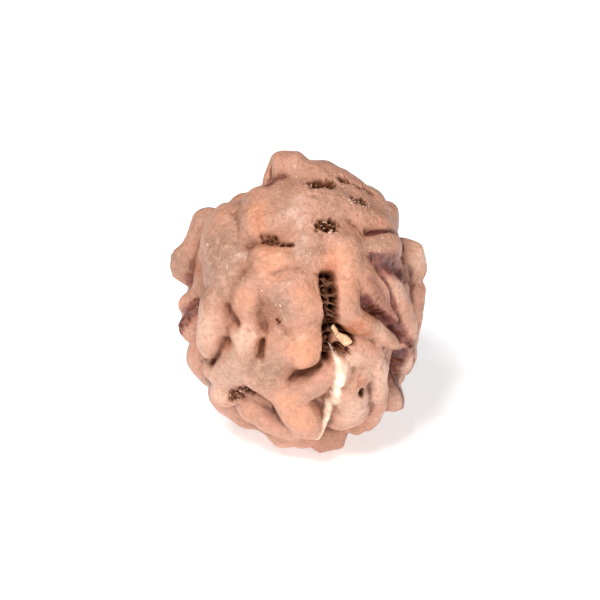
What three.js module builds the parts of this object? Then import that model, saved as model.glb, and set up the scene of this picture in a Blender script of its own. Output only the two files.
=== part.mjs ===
// A rudraksha bead: the hard stone of the fruit of Elaeocarpus ganitrus, cleaned of its flesh.
// It grew as one woody piece. Thick folds cover it all round, sharp creases part them, and one deep
// cleft runs down the face. Millimetres, +Z up, standing on a small flat spot at the origin.
// Its surface is one height above the middle for each direction, so it can't cross itself.

import * as THREE from "three";
import { mergeVertices } from "three/addons/utils/BufferGeometryUtils.js";

// Driving dimensions
const BODY = new THREE.Vector3(9.2, 9.05, 11.85); // half sizes of the stone at the bottom of its creases
const MEAN = new THREE.Vector3(10, 9.8, 12.6); // half sizes through the middle of its folds
const REST_DEPTH = 12.75; // the middle of the stone down to its flat spot
const FACE_TILT = 25; // degrees that the face of the stone looks up
const JOIN = 0.26; // rounding where two folds meet
const TRACE_STEP = 1; // longest straight step of a fold's line
const BEND = 0.22; // how far the lines wander from the drawing, in long slow bends
const BEND_LENGTH = 5;
const WOBBLE = 0.09; // and in short ones
const WOBBLE_LENGTH = 1.9;

// Mesh density
const DETAIL = 23; // cuts along each edge of the starting icosahedron
const FACE_SHARE = 0.3; // how far the mesh is gathered on the face, where the detail is

// The flat spot: a low swelling under the stone, cut off level
const SOLE = { halfWidth: 5, height: 1.6, x: -0.3, y: 0.9 };

// Places on the face are drawn in millimetres: first to the right, then up, from the middle of the face.
// Folds: round ridges and lobes, each along a line, with a parabola for its section
const FOLDS = [
  { name: "knob at the crown", halfWidth: 1.7, height: 1.9, line: [[-2.0, 11.2], [-0.6, 11.1]] },
  { name: "rim behind the crown", halfWidth: 2.4, height: 1.1,
    line: [[0.3, 10.7], [2.2, 10.3], [4.0, 9.8]] },
  { name: "right end of the rim", halfWidth: 2.1, height: 0.85, line: [[5.2, 9.1], [6.6, 8.5]] },
  { name: "plateau under the rim", halfWidth: 4.0, height: 1.15,
    line: [[0.6, 7.8], [2.6, 7.4], [4.2, 6.9]] },
  { name: "plateau to the left", halfWidth: 3.1, height: 1.0,
    line: [[-2.6, 7.9], [-0.6, 6.6], [0.4, 4.8]] },
  { name: "brow over the outer groove", halfWidth: 2.0, height: 0.9, line: [[4.9, 6.6], [7.9, 5.9]] },
  { name: "eye lobe", halfWidth: 2.1, height: 1.4, line: [[6.3, 4.0], [7.5, 3.8]] },
  { name: "ground left of the eye lobe", halfWidth: 2.2, height: 1.0, line: [[4.9, 4.3], [5.4, 2.4]] },
  { name: "right edge knob", halfWidth: 1.6, height: 1.45, line: [[9.6, 3.7], [9.9, 2.5]] },
  { name: "right edge ridge", halfWidth: 1.2, height: 1.15,
    line: [[10.0, 0.6], [10.2, -1.0], [9.9, -3.0], [9.6, -5.0]] },
  { name: "inner right fold", halfWidth: 1.75, height: 1.35,
    line: [[7.0, 1.7], [7.8, 0.7], [8.35, -0.5], [8.65, -1.8], [8.7, -3.2]] },
  { name: "rough strip", halfWidth: 1.5, height: 1.25,
    line: [[4.9, 2.2], [5.7, 0.9], [6.6, -0.3], [7.4, -1.6]] },
  { name: "shaft of the hook", halfWidth: 2.15, height: 1.9,
    line: [[3.8, 3.7], [3.7, 2.2], [3.6, 0.6], [3.6, -0.8]] },
  { name: "foot of the hook", halfWidth: 1.65, height: 1.85,
    line: [[3.8, -1.6], [4.9, -2.1], [6.0, -2.7], [6.8, -3.6]] },
  { name: "great lobe", halfWidth: 2.7, height: 1.55, line: [[-1.5, 0.2], [-0.1, 0.1], [0.2, -1.2]] },
  { name: "nose lobe", halfWidth: 1.75, height: 1.6, line: [[-3.1, 1.3], [-4.1, 0.2], [-4.15, -0.9]] },
  { name: "cheek lobe", halfWidth: 1.95, height: 1.65, line: [[-3.0, 3.0], [-1.9, 3.0]] },
  { name: "temple swelling", halfWidth: 2.2, height: 1.35, line: [[-3.75, 6.6], [-2.5, 6.4]] },
  { name: "left shoulder", halfWidth: 3.5, height: 1.25, line: [[-7.0, 6.0], [-6.8, 4.0], [-6.5, 2.2]] },
  { name: "left brow", halfWidth: 2.2, height: 1.25, line: [[-8.6, 6.2], [-9.3, 4.6]] },
  { name: "face swelling", halfWidth: 4.6, height: 0.85, line: [[-1.6, 1.6]] },
  { name: "left edge knob", halfWidth: 1.7, height: 2.0, line: [[-9.9, 3.4], [-10.1, 2.7]] },
  { name: "left edge swelling", halfWidth: 1.7, height: 1.15, line: [[-9.6, -1.1], [-9.6, -2.4]] },
  { name: "left pillow", halfWidth: 2.4, height: 2.0, line: [[-7.0, -1.0], [-7.25, -3.4]] },
  { name: "saddle over the pillow", halfWidth: 2.1, height: 1.25, line: [[-6.6, 1.5], [-6.2, 0.2]] },
  { name: "middle pillow", halfWidth: 1.8, height: 1.85, line: [[-4.45, -2.9], [-4.35, -4.5]] },
  { name: "lower left slope", halfWidth: 2.35, height: 1.4, line: [[-4.8, -5.4], [-7.1, -6.2]] },
  { name: "tongue", halfWidth: 2.2, height: 1.55, line: [[-2.2, -4.9], [-2.7, -6.6]] },
  { name: "top of the tongue", halfWidth: 1.9, height: 1.5, line: [[-1.8, -3.4], [-1.9, -4.5]] },
  { name: "left heel", halfWidth: 1.5, height: 1.2, line: [[-8.9, -4.8], [-8.6, -6.0]] },
  { name: "small left lump", halfWidth: 1.65, height: 1.55, line: [[-6.6, -7.9]] },
  { name: "lower band", halfWidth: 1.8, height: 1.3, line: [[-4.6, -9.7], [-3.0, -10.7], [-0.8, -11.3]] },
  { name: "lip beside the cleft", halfWidth: 2.3, height: 1.75, line: [[0.15, -4.0], [0.35, -4.4]] },
  { name: "chin ridge", halfWidth: 2.0, height: 1.5, line: [[-1.4, -8.0], [-1.1, -8.9]] },
  { name: "chin", halfWidth: 2.35, height: 1.85, line: [[-0.1, -9.6], [0.5, -10.3]] },
  { name: "fold left of the seam", halfWidth: 1.65, height: 1.45,
    line: [[2.3, -6.1], [1.3, -7.0], [0.1, -7.7]] },
  { name: "knuckle under the chip", halfWidth: 1.5, height: 1.55, line: [[3.45, -5.2], [3.5, -6.2]] },
  { name: "arch", halfWidth: 1.35, height: 1.7,
    line: [[4.3, -4.5], [5.3, -4.0], [6.1, -4.8], [6.4, -6.7], [6.3, -8.7], [5.8, -10.1]] },
  { name: "inside of the arch", halfWidth: 1.5, height: 1.55, line: [[5.0, -5.0], [5.0, -6.5]] },
  { name: "foot right of the seam", halfWidth: 2.15, height: 1.7,
    line: [[3.9, -7.6], [4.5, -8.4], [4.1, -9.7]] },
  { name: "underside of the chin", halfWidth: 1.9, height: 1.35, line: [[-1.5, -11.9], [0.4, -12.1]] },
  { name: "toe", halfWidth: 1.6, height: 2.1, line: [[1.9, -11.9], [2.9, -11.9]] },
  { name: "sole beside the toe", halfWidth: 1.6, height: 1.4, line: [[4.9, -11.2]] },
  { name: "outer right ridge", halfWidth: 1.5, height: 1.35,
    line: [[9.1, -4.6], [9.2, -6.4], [9.0, -7.9]] },
  { name: "right heel", halfWidth: 1.9, height: 3.0, line: [[8.6, -9.2]] },
  { name: "right sole", halfWidth: 1.9, height: 1.3, line: [[6.4, -10.4]] },
];

// Creases: cuts between the folds with a pointed bottom
const CREASES = [
  { name: "outer groove", halfWidth: 0.45, depth: 0.75,
    line: [[5.2, 5.2], [6.8, 5.1], [8.0, 5.0], [9.0, 4.4], [9.35, 3.4], [9.5, 2.3], [9.7, 1.2], [9.8, 0.3]] },
  { name: "stained hollow", halfWidth: 0.9, depth: 1.0, line: [[6.9, 2.4], [8.9, 2.2]] },
  { name: "hollow at the top of the inner groove", halfWidth: 0.5, depth: 0.6,
    line: [[5.2, -0.2], [5.6, -0.7]] },
  { name: "inner groove", halfWidth: 0.55, depth: 1.2,
    line: [[5.4, -0.3], [6.1, -0.9], [6.9, -1.6], [7.7, -2.4], [8.25, -3.3]] },
  { name: "edge of the rough strip", halfWidth: 0.4, depth: 0.45,
    line: [[6.2, 2.3], [6.7, 1.45], [7.2, 0.5], [7.55, -0.6], [7.9, -1.75], [8.3, -2.9]] },
  { name: "side groove", halfWidth: 0.8, depth: 1.2,
    line: [[8.7, -3.9], [8.6, -5.3], [8.3, -6.8], [7.8, -8.0], [7.3, -9.0]] },
  { name: "crease under the foot", halfWidth: 0.5, depth: 1.1,
    line: [[5.6, -3.2], [6.4, -3.6], [7.4, -4.4]] },
  { name: "crease under the hook", halfWidth: 0.5, depth: 1.3,
    line: [[3.8, -3.0], [4.7, -3.3], [5.6, -3.2]] },
  { name: "crease between the pillows", halfWidth: 0.6, depth: 1.0,
    line: [[-5.9, -3.3], [-6.6, -4.4], [-7.4, -5.2]] },
  { name: "crease left of the nose", halfWidth: 0.5, depth: 0.7,
    line: [[-5.4, -0.7], [-5.1, -1.4], [-4.8, -2.0]] },
  { name: "crease over the left pillow", halfWidth: 0.8, depth: 1.2,
    line: [[-9.3, -0.6], [-9.7, -1.6], [-9.7, -2.6]] },
  { name: "slit beside the tongue", halfWidth: 0.5, depth: 0.9, line: [[-3.2, -3.3], [-3.3, -4.5]] },
  { name: "crease under the tongue", halfWidth: 0.55, depth: 1.1,
    line: [[-4.3, -7.7], [-3.6, -8.3], [-2.7, -8.8], [-2.2, -9.8]] },
  { name: "crease under the lip", halfWidth: 0.65, depth: 1.1,
    line: [[-0.6, -7.0], [0.3, -6.5], [1.0, -5.9], [1.7, -5.4], [2.1, -4.8]] },
  { name: "crease over the lip", halfWidth: 0.9, depth: 0.2,
    line: [[-1.6, -2.3], [0.0, -2.4], [1.4, -2.6]] },
  { name: "crease under the cheek", halfWidth: 0.9, depth: 0.2,
    line: [[-2.7, 1.5], [-1.4, 2.0], [0.6, 2.2]] },
  { name: "crease right of the nose", halfWidth: 0.8, depth: 0.3,
    line: [[-3.2, 0.4], [-3.0, -0.7], [-3.2, -1.9]] },
  { name: "notch over the chin", halfWidth: 0.5, depth: 0.7,
    line: [[1.0, -8.4], [1.75, -9.2], [1.9, -10.0]] },
  { name: "undercut of the crown knob", halfWidth: 0.6, depth: 1.1, line: [[-2.6, 11.0], [-3.0, 10.1]] },
  { name: "dimple behind the edge knob", halfWidth: 0.6, depth: 0.9, line: [[-9.6, 3.4], [-9.9, 2.2]] },
  { name: "notch under the edge knob", halfWidth: 0.9, depth: 1.1, line: [[-10.0, 1.1], [-10.1, 0.2]] },
  { name: "notch beside the toe", halfWidth: 0.6, depth: 1.1, line: [[3.9, -11.6]] },
];

// Cleft: the deep opening with steep walls down the face, its branch, and a pocket beside it
const CLEFT = [
  { name: "cleft", halfWidth: 0.6, depth: 2.9,
    line: [[2.15, 1.8], [2.25, 0.7], [2.4, -0.6], [2.45, -1.9], [2.45, -3.0], [2.3, -4.1], [2.2, -4.8]] },
  { name: "branch of the cleft", halfWidth: 0.5, depth: 1.9,
    line: [[2.85, -2.6], [3.5, -3.1], [4.1, -3.5]] },
  { name: "pocket beside the cleft", halfWidth: 0.45, depth: 1.6, line: [[3.15, -4.2], [3.55, -4.3]] },
];
const CLEFT_WALL = 0.5; // share of the half width that the wall slopes over

// Pits: torn hollows in the smooth upper part
const PITS = [
  { name: "crown pit", halfWidth: 0.55, depth: 0.9, line: [[1.0, 9.05], [2.35, 9.05]] },
  { name: "plateau pit", halfWidth: 0.45, depth: 0.8, line: [[4.5, 7.95], [5.35, 7.75]] },
  { name: "middle pit", halfWidth: 0.5, depth: 1.0, line: [[1.65, 5.7], [2.6, 5.7]] },
  { name: "temple pit", halfWidth: 0.38, depth: 0.5, line: [[-2.95, 4.9], [-2.1, 4.7]] },
  { name: "left pit", halfWidth: 0.5, depth: 1.0, line: [[-4.8, -8.0], [-4.2, -8.2]] },
  { name: "pit in the small lump", halfWidth: 0.5, depth: 0.8, line: [[-5.5, -8.3]] },
  { name: "pit in the foot", halfWidth: 0.4, depth: 0.9, line: [[4.75, -7.35]] },
];
const PIT_WALL = 0.8;

// Wide shallow dips
const DIPS = [
  { name: "dip in the great lobe", halfWidth: 1.5, depth: 0.55, line: [[-2.1, -1.2]] },
];

// The slope left of the crown: the widest dip, placed in the frame because it goes on behind the outline
const SLOPE = { halfWidth: 5, depth: 3.4, x: -4.2, y: 2.5, z: 9.8 };

// Folds of the sides and the back: short bent strokes, spread evenly round the stone
const BACK = {
  places: 64, // for the whole stone; those on the drawn face are skipped
  edge: -0.22, // how far past the outline of the face they start, as a cosine
  clearance: 4.5, // from the middle of the slope left of the crown
  fullHeightAt: 11, // and they rise to their whole height at this distance from it
  shortest: 1.2,
  longest: 3.4,
  bend: 1.6,
  turn: 2.2, // spread of their direction, in radians
  narrowest: 1.75,
  widest: 2.35,
  lowest: 1.3,
  highest: 1.8,
};

// Unevenness of the whole surface
const ROLL = { height: 0.16, length: 6.5 };
const RIPPLE = { height: 0.07, length: 2.2 };

// The face's own directions: to the right, up and out
const tilt = THREE.MathUtils.degToRad(FACE_TILT);
const RIGHT = new THREE.Vector3(1, 0, 0);
const UP = new THREE.Vector3(0, Math.sin(tilt), Math.cos(tilt));
const OUT = new THREE.Vector3(0, -Math.cos(tilt), Math.sin(tilt));

// A repeatable draw from 0 to 1 for each whole number
function draw(number) {
  const x = Math.sin(number * 12.9898 + 4.1414) * 43758.5453;
  return x - Math.floor(x);
}

// Direction number k of n, spread evenly on a golden spiral
function evenDirection(k, n) {
  const z = 1 - (2 * k + 1) / n;
  const turn = k * Math.PI * (3 - Math.sqrt(5));
  const ring = Math.sqrt(1 - z * z);
  return new THREE.Vector3(ring * Math.cos(turn), ring * Math.sin(turn), z);
}

// A smooth irregular height between about -1 and 1: plane waves of nearly one length, added up
function waves(point, length, seed) {
  const count = 7;
  let total = 0;
  for (let k = 0; k < count; k += 1) {
    const way = evenDirection(k + 0.5 * draw(seed + k), count);
    const pace = (2 * Math.PI) / (length * (0.8 + 0.5 * draw(seed * 3 + k)));
    total += Math.sin(point.dot(way) * pace + 2 * Math.PI * draw(seed * 7 + k));
  }
  return total / Math.sqrt(count);
}

// Distance from the middle to an ellipsoid along a direction
function reach(direction, halfSizes) {
  return 1 / direction.clone().divide(halfSizes).length();
}

// A point moved along its ray from the middle to the mean surface
function ontoMean(point) {
  return point.multiplyScalar(reach(point, MEAN));
}

// A place drawn on the face, set down on the mean surface; one past the outline goes to the outline
function lift([across, up]) {
  const flat = RIGHT.clone().multiplyScalar(across).addScaledVector(UP, up);
  const outRatio = OUT.clone().divide(MEAN);
  const flatRatio = flat.clone().divide(MEAN);
  const a = outRatio.lengthSq();
  const b = 2 * outRatio.dot(flatRatio);
  const c = flatRatio.lengthSq() - 1;
  const height = (-b + Math.sqrt(Math.max(b * b - 4 * a * c, 0))) / (2 * a);
  return ontoMean(flat.addScaledVector(OUT, height));
}

// A drawn line set down on the mean surface, with points between its own
function trace(line) {
  const points = [lift(line[0])];
  for (let i = 1; i < line.length; i += 1) {
    const [fromAcross, fromUp] = line[i - 1];
    const [toAcross, toUp] = line[i];
    const steps = Math.ceil(Math.hypot(toAcross - fromAcross, toUp - fromUp) / TRACE_STEP);
    for (let k = 1; k <= steps; k += 1) {
      const share = k / steps;
      points.push(lift([fromAcross + (toAcross - fromAcross) * share, fromUp + (toUp - fromUp) * share]));
    }
  }
  return points;
}

// Shortest distance from a point to a traced line
function distance(point, line) {
  if (line.length === 1) {
    return point.distanceTo(line[0]);
  }
  const nearest = new THREE.Vector3();
  const piece = new THREE.Line3();
  let best = Infinity;
  for (let i = 1; i < line.length; i += 1) {
    piece.set(line[i - 1], line[i]).closestPointToPoint(point, true, nearest);
    best = Math.min(best, point.distanceTo(nearest));
  }
  return best;
}

// The folds of the sides and the back
function backFolds() {
  const folds = [];
  const top = new THREE.Vector3(0, 0, 1);
  for (let k = 0; k < BACK.places; k += 1) {
    const ray = evenDirection(k, BACK.places);
    const middle = ontoMean(ray.clone());
    const gap = distance(middle, slope.line);
    if (ray.dot(OUT) > BACK.edge || gap < BACK.clearance) {
      continue;
    }
    const east = top.clone().cross(ray).normalize();
    const north = ray.clone().cross(east);
    const angle = Math.PI / 2 + (draw(k) - 0.5) * BACK.turn;
    const along = east.multiplyScalar(Math.cos(angle)).addScaledVector(north, Math.sin(angle));
    const side = ray.clone().cross(along);
    const length = THREE.MathUtils.lerp(BACK.shortest, BACK.longest, draw(k + 100));
    const bend = (draw(k + 200) - 0.5) * BACK.bend;
    const line = [-1, 0, 1].map((end) => {
      const point = middle.clone().addScaledVector(along, (end * length) / 2);
      return ontoMean(point.addScaledVector(side, bend * (0.5 - Math.abs(end))));
    });
    const growth = THREE.MathUtils.smoothstep(gap, BACK.clearance, BACK.fullHeightAt);
    folds.push({
      halfWidth: THREE.MathUtils.lerp(BACK.narrowest, BACK.widest, draw(k + 300)),
      height: THREE.MathUtils.lerp(BACK.lowest, BACK.highest, draw(k + 400)) * growth,
      line,
    });
  }
  return folds;
}

function traced(features) {
  return features.map((feature) => ({ ...feature, line: trace(feature.line) }));
}

const sole = { ...SOLE, line: [ontoMean(new THREE.Vector3(SOLE.x, SOLE.y, -MEAN.z))] };
const slope = { ...SLOPE, line: [ontoMean(new THREE.Vector3(SLOPE.x, SLOPE.y, SLOPE.z))] };
const folds = [...traced(FOLDS), ...backFolds(), sole];
const creases = traced(CREASES);
const cleft = traced(CLEFT);
const pits = traced(PITS);
const dips = [...traced(DIPS), slope];

// The folds' height at a point: each is a parabola across its line, and they join as soft bubbles do
function swelling(point) {
  let total = 1;
  for (const fold of folds) {
    const across = distance(point, fold.line) / fold.halfWidth;
    if (across < 1) {
      total += Math.exp((fold.height * (1 - across * across)) / JOIN) - 1;
    }
  }
  return JOIN * Math.log(total);
}

// The deepest of a set of cuts at a point: shape turns the share of the half width into one of depth
function deepest(point, cuts, shape) {
  return Math.max(0, ...cuts.map((cut) => cut.depth * shape(distance(point, cut.line) / cut.halfWidth)));
}

const pointed = (across) => Math.max(0, 1 - across) ** 1.5;
const bowl = (across) => Math.max(0, 1 - across * across) ** 2;
const steep = (wall) => (across) => 1 - THREE.MathUtils.smoothstep(across, 1 - wall / 2, 1 + wall / 2);

// Height of the stone's surface above its middle, along a direction
function stoneRadius(ray) {
  const onMean = ontoMean(ray.clone());
  const drift = new THREE.Vector3().fromArray([0, 1, 2].map((axis) => {
    const slow = BEND * waves(onMean, BEND_LENGTH, 11 + axis);
    return slow + WOBBLE * waves(onMean, WOBBLE_LENGTH, 31 + axis);
  }));
  const place = onMean.clone().add(drift);
  const besideCleft = onMean.clone().addScaledVector(drift, 0.5);
  const cut = Math.max(
    deepest(place, creases, pointed),
    deepest(besideCleft, cleft, steep(CLEFT_WALL)),
    deepest(onMean, pits, steep(PIT_WALL)),
  );
  const roll = ROLL.height * waves(onMean, ROLL.length, 3);
  const ripple = RIPPLE.height * waves(onMean, RIPPLE.length, 5);
  return reach(ray, BODY) + swelling(place) - deepest(place, dips, bowl) - cut + roll + ripple;
}

// The stone: an even ball of triangles, gathered towards the face, each point moved out to the surface
function stoneGeometry() {
  const ball = new THREE.IcosahedronGeometry(1, DETAIL);
  ball.deleteAttribute("normal");
  ball.deleteAttribute("uv");
  const geometry = mergeVertices(ball, 1e-5);
  const position = geometry.getAttribute("position");
  const ray = new THREE.Vector3();
  for (let i = 0; i < position.count; i += 1) {
    ray.fromBufferAttribute(position, i).addScaledVector(OUT, FACE_SHARE).normalize();
    const point = ray.clone().multiplyScalar(stoneRadius(ray));
    if (point.z < -REST_DEPTH) {
      point.multiplyScalar(-REST_DEPTH / point.z).setZ(-REST_DEPTH);
    }
    position.setXYZ(i, point.x, point.y, point.z);
  }
  geometry.computeBoundingBox();
  const middle = geometry.boundingBox.getCenter(new THREE.Vector3());
  geometry.translate(-middle.x, -middle.y, REST_DEPTH);
  geometry.computeVertexNormals();
  return geometry;
}

// The woody wall of the stone: warm brown, hard and slightly waxy
const woodyStone = new THREE.MeshStandardMaterial({ color: 0xb98468, roughness: 0.55, metalness: 0 });

const group = new THREE.Group();
const bead = new THREE.Mesh(stoneGeometry(), woodyStone);
bead.name = "rudraksha_bead";
group.add(bead);

export default group;
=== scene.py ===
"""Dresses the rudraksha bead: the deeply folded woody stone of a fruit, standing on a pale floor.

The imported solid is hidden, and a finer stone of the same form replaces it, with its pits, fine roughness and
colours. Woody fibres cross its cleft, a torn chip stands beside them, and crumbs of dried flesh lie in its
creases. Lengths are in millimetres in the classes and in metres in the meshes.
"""

import logging
import math
from dataclasses import dataclass, field
from enum import Enum

import bpy
import numpy as np
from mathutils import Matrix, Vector


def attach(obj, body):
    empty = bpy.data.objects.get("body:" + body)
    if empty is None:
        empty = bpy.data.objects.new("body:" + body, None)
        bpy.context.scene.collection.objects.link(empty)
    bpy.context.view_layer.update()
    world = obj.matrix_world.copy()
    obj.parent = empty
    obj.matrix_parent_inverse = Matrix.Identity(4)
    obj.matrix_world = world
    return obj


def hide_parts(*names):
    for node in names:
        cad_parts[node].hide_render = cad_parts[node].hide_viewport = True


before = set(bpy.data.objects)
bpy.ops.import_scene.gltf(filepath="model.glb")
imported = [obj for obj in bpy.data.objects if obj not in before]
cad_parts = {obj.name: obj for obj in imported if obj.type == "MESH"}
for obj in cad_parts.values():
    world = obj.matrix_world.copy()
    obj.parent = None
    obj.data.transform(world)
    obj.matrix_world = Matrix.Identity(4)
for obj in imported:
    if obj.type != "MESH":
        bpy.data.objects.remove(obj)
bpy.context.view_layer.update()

CAD_NODE = "rudraksha_bead"
BODY = "root"
MM = 0.001  # a millimetre in metres

log = logging.getLogger("rudraksha_bead")

Line = tuple[tuple[float, float], ...]
Colour = tuple[float, float, float]
Mesh = tuple[np.ndarray, np.ndarray]  # points and faces, one a row
Socket = bpy.types.NodeSocket


class Layer(Enum):
    """An attribute of the stone's points: how much of a colour or a depth is there."""

    # Painted highlight: pale peach on the lit crowns and lower parts.
    PAINTED_HIGHLIGHT = "pale"
    WARM = "warm"
    DUST = "dust"
    # Painted shade of the broad valleys.
    VALLEY_SHADE = "valley"
    # Painted reddish shade under overhangs and in narrow hollows.
    REDDISH_SHADE = "rust"
    # Painted shade of the creases.
    CREASE_SHADE = "crease"
    # Stains, with painted shade under the crown knob and left of the nose.
    STAIN_AND_SHADE = "stain"
    # Pale grit specks, partly painted glints.
    GRIT_AND_GLINT = "grit"
    TORN = "torn"
    # Painted shade: near black deep in the cleft and the pits.
    DEEP_SHADE = "deep"
    SEAM = "seam"


class Joining(Enum):
    """How two values of a material are put together."""

    TIMES = "MULTIPLY"
    PLUS = "ADD"


@dataclass(frozen=True)
class Feature:
    """A fold or a cut: a line drawn on the face, its half width, and its height or depth, in millimetres."""

    name: str
    half_width: float
    height: float
    line: Line


@dataclass(frozen=True)
class Ribbon:
    """A coloured streak: a line drawn on the face and its half width at each place, in millimetres."""

    name: str
    strength: float
    line: Line
    half_widths: tuple[float, ...]


@dataclass(frozen=True)
class Patch:
    """A soft coloured patch: a place drawn on the face and its radius, in millimetres."""

    name: str
    strength: float
    place: tuple[float, float]
    radius: float


FOLDS = (
    Feature("knob at the crown", 1.7, 1.9, ((-2.0, 11.2), (-0.6, 11.1))),
    Feature("rim behind the crown", 2.4, 1.1, ((0.3, 10.7), (2.2, 10.3), (4.0, 9.8))),
    Feature("right end of the rim", 2.1, 0.85, ((5.2, 9.1), (6.6, 8.5))),
    Feature("plateau under the rim", 4.0, 1.15, ((0.6, 7.8), (2.6, 7.4), (4.2, 6.9))),
    Feature("plateau to the left", 3.1, 1.0, ((-2.6, 7.9), (-0.6, 6.6), (0.4, 4.8))),
    Feature("brow over the outer groove", 2.0, 0.9, ((4.9, 6.6), (7.9, 5.9))),
    Feature("eye lobe", 2.1, 1.4, ((6.3, 4.0), (7.5, 3.8))),
    Feature("ground left of the eye lobe", 2.2, 1.0, ((4.9, 4.3), (5.4, 2.4))),
    Feature("right edge knob", 1.6, 1.45, ((9.6, 3.7), (9.9, 2.5))),
    Feature("right edge ridge", 1.2, 1.15, ((10.0, 0.6), (10.2, -1.0), (9.9, -3.0), (9.6, -5.0))),
    Feature("inner right fold", 1.75, 1.35,
            ((7.0, 1.7), (7.8, 0.7), (8.35, -0.5), (8.65, -1.8), (8.7, -3.2))),
    Feature("rough strip", 1.5, 1.25, ((4.9, 2.2), (5.7, 0.9), (6.6, -0.3), (7.4, -1.6))),
    Feature("shaft of the hook", 2.15, 1.9, ((3.8, 3.7), (3.7, 2.2), (3.6, 0.6), (3.6, -0.8))),
    Feature("foot of the hook", 1.65, 1.85, ((3.8, -1.6), (4.9, -2.1), (6.0, -2.7), (6.8, -3.6))),
    Feature("great lobe", 2.7, 1.55, ((-1.5, 0.2), (-0.1, 0.1), (0.2, -1.2))),
    Feature("nose lobe", 1.75, 1.6, ((-3.1, 1.3), (-4.1, 0.2), (-4.15, -0.9))),
    Feature("cheek lobe", 1.95, 1.65, ((-3.0, 3.0), (-1.9, 3.0))),
    Feature("temple swelling", 2.2, 1.35, ((-3.75, 6.6), (-2.5, 6.4))),
    Feature("left shoulder", 3.5, 1.25, ((-7.0, 6.0), (-6.8, 4.0), (-6.5, 2.2))),
    Feature("left brow", 2.2, 1.25, ((-8.6, 6.2), (-9.3, 4.6))),
    Feature("face swelling", 4.6, 0.85, ((-1.6, 1.6),)),
    Feature("left edge knob", 1.7, 2.0, ((-9.9, 3.4), (-10.1, 2.7))),
    Feature("left edge swelling", 1.7, 1.15, ((-9.6, -1.1), (-9.6, -2.4))),
    Feature("left pillow", 2.4, 2.0, ((-7.0, -1.0), (-7.25, -3.4))),
    Feature("saddle over the pillow", 2.1, 1.25, ((-6.6, 1.5), (-6.2, 0.2))),
    Feature("middle pillow", 1.8, 1.85, ((-4.45, -2.9), (-4.35, -4.5))),
    Feature("lower left slope", 2.35, 1.4, ((-4.8, -5.4), (-7.1, -6.2))),
    Feature("tongue", 2.2, 1.55, ((-2.2, -4.9), (-2.7, -6.6))),
    Feature("top of the tongue", 1.9, 1.5, ((-1.8, -3.4), (-1.9, -4.5))),
    Feature("left heel", 1.5, 1.2, ((-8.9, -4.8), (-8.6, -6.0))),
    Feature("small left lump", 1.65, 1.55, ((-6.6, -7.9),)),
    Feature("lower band", 1.8, 1.3, ((-4.6, -9.7), (-3.0, -10.7), (-0.8, -11.3))),
    Feature("lip beside the cleft", 2.3, 1.75, ((0.15, -4.0), (0.35, -4.4))),
    Feature("chin ridge", 2.0, 1.5, ((-1.4, -8.0), (-1.1, -8.9))),
    Feature("chin", 2.35, 1.85, ((-0.1, -9.6), (0.5, -10.3))),
    Feature("fold left of the seam", 1.65, 1.45, ((2.3, -6.1), (1.3, -7.0), (0.1, -7.7))),
    Feature("knuckle under the chip", 1.5, 1.55, ((3.45, -5.2), (3.5, -6.2))),
    Feature("arch", 1.35, 1.7,
            ((4.3, -4.5), (5.3, -4.0), (6.1, -4.8), (6.4, -6.7), (6.3, -8.7), (5.8, -10.1))),
    Feature("inside of the arch", 1.5, 1.55, ((5.0, -5.0), (5.0, -6.5))),
    Feature("foot right of the seam", 2.15, 1.7, ((3.9, -7.6), (4.5, -8.4), (4.1, -9.7))),
    Feature("underside of the chin", 1.9, 1.35, ((-1.5, -11.9), (0.4, -12.1))),
    Feature("toe", 1.6, 2.1, ((1.9, -11.9), (2.9, -11.9))),
    Feature("sole beside the toe", 1.6, 1.4, ((4.9, -11.2),)),
    Feature("outer right ridge", 1.5, 1.35, ((9.1, -4.6), (9.2, -6.4), (9.0, -7.9))),
    Feature("right heel", 1.9, 3.0, ((8.6, -9.2),)),
    Feature("right sole", 1.9, 1.3, ((6.4, -10.4),)),
)

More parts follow.
